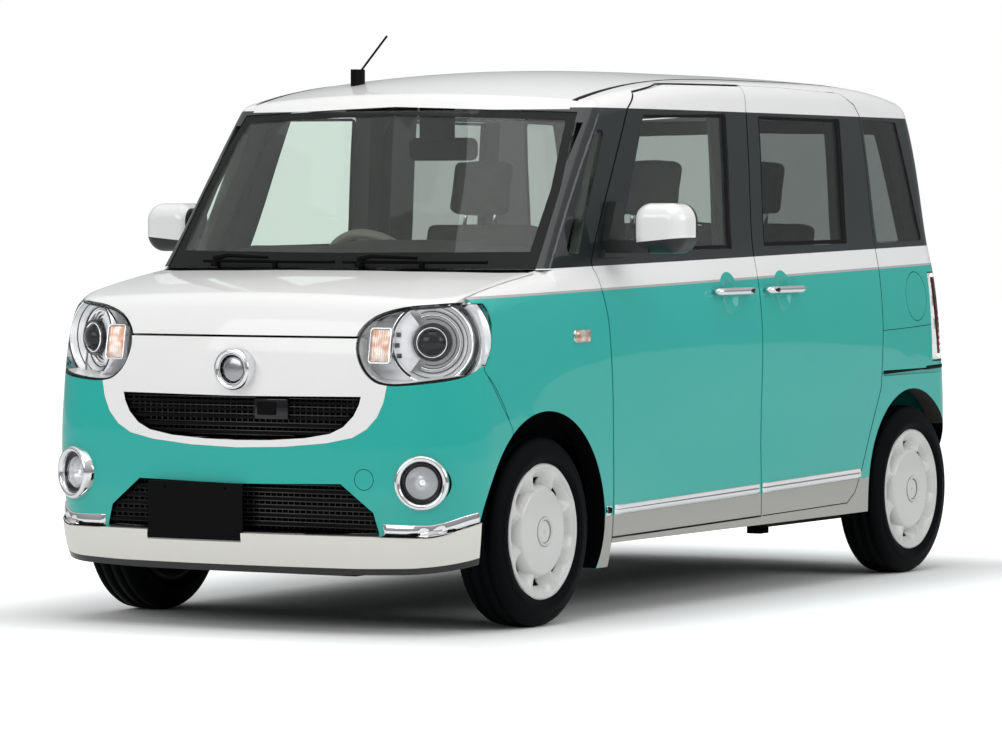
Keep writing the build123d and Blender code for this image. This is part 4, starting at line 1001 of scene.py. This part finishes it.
def grille_mesh(name, outline):
    """A lattice of crossing bars inside a flat (x, z) outline, sunk in the opening."""
    def spans(value, axis):
        """Where a line x or z = value crosses the outline."""
        cuts = []
        for a, b in zip(outline, outline[1:] + outline[:1]):
            if (a[axis] - value) * (b[axis] - value) < 0:
                t = (value - a[axis]) / (b[axis] - a[axis])
                cuts.append(a[1 - axis] + t * (b[1 - axis] - a[1 - axis]))
        cuts.sort()
        return zip(cuts[::2], cuts[1::2])
    bars = []
    x = min(u for u, _ in outline) + MESH_PITCH
    while x < max(u for u, _ in outline):
        bars += [tube([(x, GRILLE_Y, low), (x, GRILLE_Y, high)], MESH_RADIUS, 6)
                 for low, high in spans(x, 0)]
        x += MESH_PITCH
    y = GRILLE_Y - 0.002
    z = min(v for _, v in outline) + MESH_PITCH * 0.5
    while z < max(v for _, v in outline):
        bars += [tube([(low, y, z), (high, y, z)], MESH_RADIUS * 1.3, 6)
                 for low, high in spans(z, 1)]
        z += MESH_PITCH * 0.6
    join_parts(name, bars, grille_black, "body")


grille_mesh("upper_grille_mesh", UPPER_GRILLE)
grille_mesh("lower_grille_mesh", LOWER_GRILLE)
corner_surface = cad_surface("front_bumper", "front_garnish", *pair("front_fender"), "front_lip")


def round_the_corner(side):
    """Casts (degrees from straight ahead, z) at the front corner of the car."""
    def cast(turn, z):
        out = Vector((side * math.sin(math.radians(turn)), -math.cos(math.radians(turn)), 0))
        middle = Vector((side * 0.45, -1.35, z))
        hit, normal, _, _ = corner_surface.ray_cast(middle + out * 0.9, -out)
        return hit, (normal if normal is None or normal.dot(out) > 0 else -normal)
    return cast


CORNER_PROFILE = ((0.0, -0.002), (0.03, 0.006), (0.10, 0.010), (0.55, 0.0085), (0.92, 0.0045),
                  (0.97, 0.004), (1.0, -0.002))                # share of the height, lift
SHADOW_PROFILE = ((0, -0.002), (0.2, 0.0015), (0.8, 0.0015), (1, -0.002))
CORNER_STEPS = 40


def corner_rise(turn):
    """How much the strip has climbed at so many degrees from straight ahead."""
    return 0.038 * smoothstep(30, 64, turn)


for name, side in SIDES:
    cast = round_the_corner(side)
    rows = []
    for share, lift in CORNER_PROFILE:
        row = []
        for k in range(CORNER_STEPS + 1):
            turn = 6.5 + 55.5 * k / CORNER_STEPS
            tall = 0.034 - 0.004 * k / CORNER_STEPS
            row.append((turn if k else turn - 1.6 * share,
                        0.288 + corner_rise(turn) + share * tall,
                        -0.002 if k in (0, CORNER_STEPS) else lift))
        rows.append(row)
    lay(f"corner_strip_{name}", rows, cast, chrome, "body")
    steps = [6.2 + 56.2 * k / CORNER_STEPS for k in range(CORNER_STEPS + 1)]
    rows = [[(turn, 0.2835 + corner_rise(turn) + 0.005 * share, lift) for turn in steps]
            for share, lift in SHADOW_PROFILE]
    lay(f"corner_strip_shadow_{name}", rows, cast, rubber_black, "body")
tow_cover = [(0.423 + 0.030 * math.cos(turn), 0.447 + 0.030 * math.sin(turn))
             for turn in (k * math.pi / 24 for k in range(49))]
line("tow_cover_seam", tow_cover, front_cast, seam_black, "body", 0.0010)


def bevelled(name, low, high, material, width):
    piece = join_parts(name, [block(low, high)], material, "body")
    apply_modifier(piece, "BEVEL", width=width, segments=3, limit_method="ANGLE")


bevelled("radar_housing", (0.050, -1.652, 0.612), (0.166, -1.630, 0.676), black_gloss, 0.006)
bevelled("radar_window", (0.062, -1.6545, 0.626), (0.128, -1.648, 0.664), black_plastic, 0.003)
# Pivot and tip of each wiper, x and y.
WIPERS = ((-0.430, -1.128, -0.220, -1.158), (0.110, -1.168, 0.300, -1.148))
for number, (px, py, tip_x, tip_y) in enumerate(WIPERS):
    arm = tube([(px, py, 1.052), (px, py - 0.002, 1.072),
                (px + (tip_x - px) * 0.25, py - 0.012, 1.080), (tip_x, tip_y - 0.004, 1.074)],
               [0.010, 0.0095, 0.007, 0.0045], 10)
    cap = lathe(((-0.012, 0.016), (0.006, 0.015), (0.012, 0.009), (0.0125, 0.0005)),
                (px, py, 1.058), "Z", segments=24)
    join_parts(f"wiper_arm_{number}", [arm, cap], black_plastic, "body")


# ---------------------------------------------------------------- mirrors, rear end
for name, side in SIDES:
    outline = [(side * u, v) for u, v in rounded((0.802, 1.098), (0.948, 1.222), 0.040)]
    pad(f"mirror_glass_{name}", outline,
        ((1.0, -0.001), (1.0, 0.0012), (0.96, 0.0016), (0.5, 0.0016), (0.03, 0.0016)),
        caster(cad_surface(f"door_mirror_{name}"), "Y"), chrome, f"front_door_{name}")

    # Tail lamp: clear on its side with two dark cells, red towards the rear.
    tail_axis = Vector((side * 0.643, 0.766, 0))
    lens_housing(f"tail_lamp_bucket_{name}", "tail_lamps", side, tail_axis, 0.020, 0.0030,
                 lamp_white)
    side_look = caster(cad_surface("tail_lamps"), "X", side)
    for number, (low, high) in enumerate(((0.886, 0.920), (0.806, 0.842))):
        rows = [[(y, z, -0.0045) for y in (1.560, 1.575, 1.590, 1.603)]
                for z in (low, (low + high) / 2, high)]
        lay(f"tail_lamp_cell_{number}_{name}", rows, side_look, black_gloss, "body")
    rows = [[(side * (0.612 + 0.062 * j / 8), 0.722 + 0.258 * k / 24, -0.006 + 0.0012 * (k % 2))
             for j in range(9)] for k in range(25)]
    lay(f"tail_lamp_red_{name}", rows, caster(cad_surface("tail_lamps"), "Y"), red_lens, "body")

# Blank rear plate: one flat panel that leans with the tailgate; the apron behind it is painted.
APRON_TOP = 0.896
PLATE_LOW, PLATE_HIGH = 0.722, 0.878         # heights at which the plate's lean is felt out
PLATE_MIDDLE_Z = 0.8
for polygon in nodes["tailgate_trim"].data.polygons:
    polygon.material_index = 1 if polygon.center.z < APRON_TOP else 0
plate_cast = caster(cad_surface("tailgate", "tailgate_trim"), "Y")
low_y, high_y = (max(plate_cast(x, z)[0].y for x in (-0.15, 0.0, 0.15))
                 for z in (PLATE_LOW, PLATE_HIGH))
points = []
for share, lift in ((1.0, 0.0005), (1.0, 0.0045), (0.97, 0.0055), (0.5, 0.0055), (0.03, 0.0055)):
    for x, z in rounded((-0.165, 0.7175), (0.165, 0.8825), 0.008):
        z = PLATE_MIDDLE_Z + (z - PLATE_MIDDLE_Z) * share
        t = (z - PLATE_LOW) / (PLATE_HIGH - PLATE_LOW)
        points.append((x * share, low_y + t * (high_y - low_y) + lift, z))
make_piece("rear_plate", points, grid_faces(5, len(points) // 5, True), plate_white, "tailgate")
pad("high_stop_lamp", rounded((-0.130, 1.485), (0.130, 1.503), 0.008),
    ((1.0, -0.001), (1.0, 0.003), (0.8, 0.005), (0.05, 0.006)), rear_cast, red_lens, "tailgate")
wiper = tube([(0.02, 1.688, 1.085), (0.0, 1.676, 1.115), (-0.16, 1.662, 1.150),
              (-0.30, 1.652, 1.165)], [0.010, 0.009, 0.006, 0.004], 10)
hub = lathe(((-0.020, 0.024), (0.004, 0.023), (0.010, 0.014), (0.0105, 0.0005)),
            (0.02, 1.682, 1.080), "Y", segments=32)
join_parts("rear_wiper", [wiper, hub], black_plastic, "tailgate")


# ---------------------------------------------------------------- cabin
hood = []
for j in range(25):
    across = -1 + j / 12
    for k in range(13):
        along = -1 + k / 6
        rise = 0.034 * max(0.0, 1 - abs(across) ** 4) * max(0.0, 1 - abs(along) ** 2.5)
        hood.append((0.02 + 0.32 * across, -0.775 + 0.105 * along, 1.088 + 0.012 * along + rise))
make_piece("instrument_hood", hood, grid_faces(25, 13), dash_plastic, "body")


def pad_shape(size, radius):
    """A block with its upright corners rounded, centred, sizes across, deep and high."""
    w, d, h = (s / 2 for s in size)
    outline = rounded((-w, -d), (w, d), radius, 8)
    count = len(outline)
    points = [(u, v, z) for z in (-h, h) for u, v in outline]
    return points, grid_faces(2, count, True) + [tuple(reversed(range(count))),
                                                 tuple(range(count, 2 * count))]


def swell(piece, seams, cap):
    """Blown up like a sewn cushion; points near the seams stay where they are."""
    apply_modifier(piece, "BEVEL", width=0.018, segments=3, limit_method="ANGLE")
    apply_modifier(piece, "REMESH", mode="VOXEL", voxel_size=0.006)
    mesh = piece.data
    start = [v.co.copy() for v in mesh.vertices]
    pin = piece.vertex_groups.new(name="pin")
    pin.add([i for i, p in enumerate(start) if seams(p)], 1.0, "REPLACE")
    cloth = piece.modifiers.new("swell", "CLOTH")
    cloth.settings.vertex_group_mass = "pin"
    cloth.settings.use_pressure = True
    cloth.settings.uniform_pressure_force = 4.0
    cloth.settings.effector_weights.gravity = 0.0
    cloth.point_cache.frame_start, cloth.point_cache.frame_end = 1, 20
    for number in range(1, 21):
        bpy.context.scene.frame_set(number)
    result = piece.evaluated_get(bpy.context.evaluated_depsgraph_get())
    ends = [v.co.copy() for v in result.data.vertices]
    piece.modifiers.remove(cloth)
    bpy.context.scene.frame_set(1)
    piece.vertex_groups.remove(pin)
    for vertex, a, b in zip(mesh.vertices, start, ends):
        move = b - a
        if move.length > cap:
            move *= cap / move.length
        vertex.co = a + move
    apply_modifier(piece, "SMOOTH", factor=0.5, iterations=3)
    for polygon in mesh.polygons:
        polygon.use_smooth = True


SEAT_LEAN = 0.2419           # radians, of the backrests
SWELL_CAP = 0.024            # no point of a pad swells further than this
PADS = (      # name, size across-deep-high, corner radius, place in the seat, lean, seam test
    ("cushion", (0.445, 0.445, 0.122), 0.055, (0, 0, 0.545), 0.0,
     lambda p: p.z < -0.05 or abs(abs(p.x) - 0.135) < 0.004),
    ("backrest", (0.425, 0.085, 0.560), 0.040, (0, 0.271, 0.886), SEAT_LEAN,
     lambda p: abs(abs(p.x) - 0.125) < 0.004 and abs(p.y) > 0.03),
    ("headrest", (0.210, 0.072, 0.168), 0.032, (0, 0.3105, 1.282), SEAT_LEAN,
     lambda p: abs(p.x) > 0.2),
)
SEATS = (             # name, x, y, the node it belongs to
    ("front_left", 0.310, -0.060, "front_seats"), ("front_right", -0.310, -0.060, "front_seats"),
    ("rear_left", 0.255, 0.760, "rear_seat"), ("rear_right", -0.255, 0.760, "rear_seat"),
)
for part, size, radius, place, lean, seams in PADS:
    master = make_piece(f"{part}_front_left", *pad_shape(size, radius), seat_cloth, "body")
    swell(master, seams, SWELL_CAP)
    turn = Matrix.Rotation(-lean, 4, "X")
    base_points = [turn @ v.co for v in master.data.vertices]
    for seat_name, x, y, node in SEATS:
        if seat_name == "front_left":
            piece = master
        else:
            piece = add_object(f"{part}_{seat_name}", master.data.copy())
            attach(piece, "body")
        for vertex, p in zip(piece.data.vertices, base_points):
            vertex.co = p + Vector((x + place[0], y + place[1], place[2]))
        if part == "cushion":
            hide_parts(node)
for seat_name, x, y, node in SEATS:
    posts = [tube([(x + dx, y + 0.318 - SEAT_LEAN * 0.12, 1.150), (x + dx, y + 0.318, 1.250)],
                  0.006, 10) for dx in (-0.055, 0.055)]
    trim = tube([(x - 0.21, y + 0.16, 0.50), (x + 0.21, y + 0.16, 0.50)], 0.030, 16)
    join_parts(f"headrest_posts_{seat_name}", posts, chrome_soft, "body")
    join_parts(f"recliner_bar_{seat_name}", [trim], black_plastic, "body")


# ---------------------------------------------------------------- stage
FLOOR_REACH = 40.0
FOOTPRINT = (0.70, 1.60)     # half width and half length round which the glow fades out: a painted shadow that also keeps the floor's rendered shadow
FLOOR_GLOW = 0.55


def seen_directly(tree):
    """1 for rays that come from the camera, also through glass."""
    path = tree.nodes.new("ShaderNodeLightPath")
    return math_node(tree, "MAXIMUM", path.outputs["Is Camera Ray"],
                     path.outputs["Is Transmission Ray"])


def make_floor():
    mesh = bpy.data.meshes.new("studio_floor")
    corners = [(x * FLOOR_REACH, y * FLOOR_REACH, 0)
               for x, y in ((-1, -1), (1, -1), (1, 1), (-1, 1))]
    mesh.from_pydata(corners, [], [(0, 1, 2, 3)])
    floor = add_object("studio_floor", mesh)
    material, tree, shader = new_material("studio_floor")
    shader.inputs["Base Color"].default_value = (0.86, 0.86, 0.86, 1)
    settle(shader, roughness=0.9, specular=0.0)
    _, xyz = object_xyz(tree)
    # The camera-seen glow fades out towards the car's footprint: a painted soft shadow round the
    # car, over the rendered one.
    outside = [math_node(tree, "SUBTRACT", math_node(tree, "ABSOLUTE", xyz[key]), half)
               for key, half in zip("XY", FOOTPRINT)]
    shadow_fade = tree.nodes.new("ShaderNodeMapRange")
    shadow_fade.interpolation_type = "SMOOTHSTEP"
    shadow_fade.inputs["From Min"].default_value = 0.05
    shadow_fade.inputs["From Max"].default_value = 0.9
    link(tree, math_node(tree, "MAXIMUM", *outside), shadow_fade.inputs["Value"])
    glow = math_node(tree, "MULTIPLY", shadow_fade.outputs["Result"], FLOOR_GLOW)
    link(tree, all_of(tree, seen_directly(tree), glow), shader.inputs["Emission Strength"])
    shader.inputs["Emission Color"].default_value = (1, 1, 1, 1)
    mesh.materials.append(material)
    floor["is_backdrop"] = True


def make_world():
    """Grey below and pale above for what the car reflects; white where it is seen directly."""
    world = bpy.data.worlds.new("studio")
    bpy.context.scene.world = world
    world.use_nodes = True
    tree = world.node_tree
    background = tree.nodes["Background"]
    coords = tree.nodes.new("ShaderNodeTexCoord")
    split = tree.nodes.new("ShaderNodeSeparateXYZ")
    link(tree, coords.outputs["Generated"], split.inputs[0])
    ramp = tree.nodes.new("ShaderNodeValToRGB")
    stops = ramp.color_ramp.elements
    stops[0].position, stops[0].color = 0.0, (0.22, 0.23, 0.24, 1)
    stops[1].position, stops[1].color = 0.9, (0.90, 0.90, 0.90, 1)
    stops.new(0.22).color = (0.35, 0.36, 0.37, 1)
    link(tree, split.outputs["Z"], ramp.inputs["Fac"])
    colour = mix_colour(tree, seen_directly(tree), ramp.outputs["Color"], (1.0, 1.0, 1.0))
    link(tree, colour, background.inputs["Color"])
    background.inputs["Strength"].default_value = 1.0


def area_light(name, place, aim, size, watts):
    light = bpy.data.lights.new(name, "AREA")
    light.shape = "RECTANGLE"
    light.size, light.size_y = size
    light.energy = watts
    lamp = add_object(name, light)
    lamp.location = place
    lamp.rotation_euler = (Vector(aim) - Vector(place)).to_track_quat("-Z", "Y").to_euler()


CAMERA_PLACE = (8.0540, -13.8517, 1.2564)
CAMERA_AZIMUTH = 30.458
CAMERA_ELEVATION = 2.043
CAMERA_ROLL = -0.094
CAMERA_LENS = 181.19


def make_camera():
    azimuth, elevation, roll = (math.radians(a) for a in
                                (CAMERA_AZIMUTH, CAMERA_ELEVATION, CAMERA_ROLL))
    back = Vector((math.sin(azimuth) * math.cos(elevation),
                   -math.cos(azimuth) * math.cos(elevation), math.sin(elevation)))
    right = Vector((math.cos(azimuth), math.sin(azimuth), 0.0))
    up = back.cross(right)
    turned_right = right * math.cos(roll) + up * math.sin(roll)
    turned_up = up * math.cos(roll) - right * math.sin(roll)
    camera = add_object("camera", bpy.data.cameras.new("camera"))
    turn = Matrix((turned_right, turned_up, back)).transposed().to_4x4()
    camera.matrix_world = Matrix.Translation(CAMERA_PLACE) @ turn
    camera.data.sensor_width = 36.0
    camera.data.lens = CAMERA_LENS
    camera.data.clip_end = 200.0
    bpy.context.scene.camera = camera


make_floor()
make_world()
area_light("top_softbox", (0.5, -1.0, 5.5), (0, 0, 0.8), (4.0, 7.0), 105)
area_light("side_softbox", (6.5, 0.5, 3.2), (0, 0, 0.9), (6.0, 2.5), 110)
area_light("front_softbox", (-1.5, -7.0, 3.2), (0, 0, 0.9), (5.0, 2.5), 100)
make_camera()

bpy.context.scene.view_settings.view_transform = "Standard"
sizes = {"cad": [list(corner) for corner in cad_box],
         "visual": [list(corner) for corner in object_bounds()]}
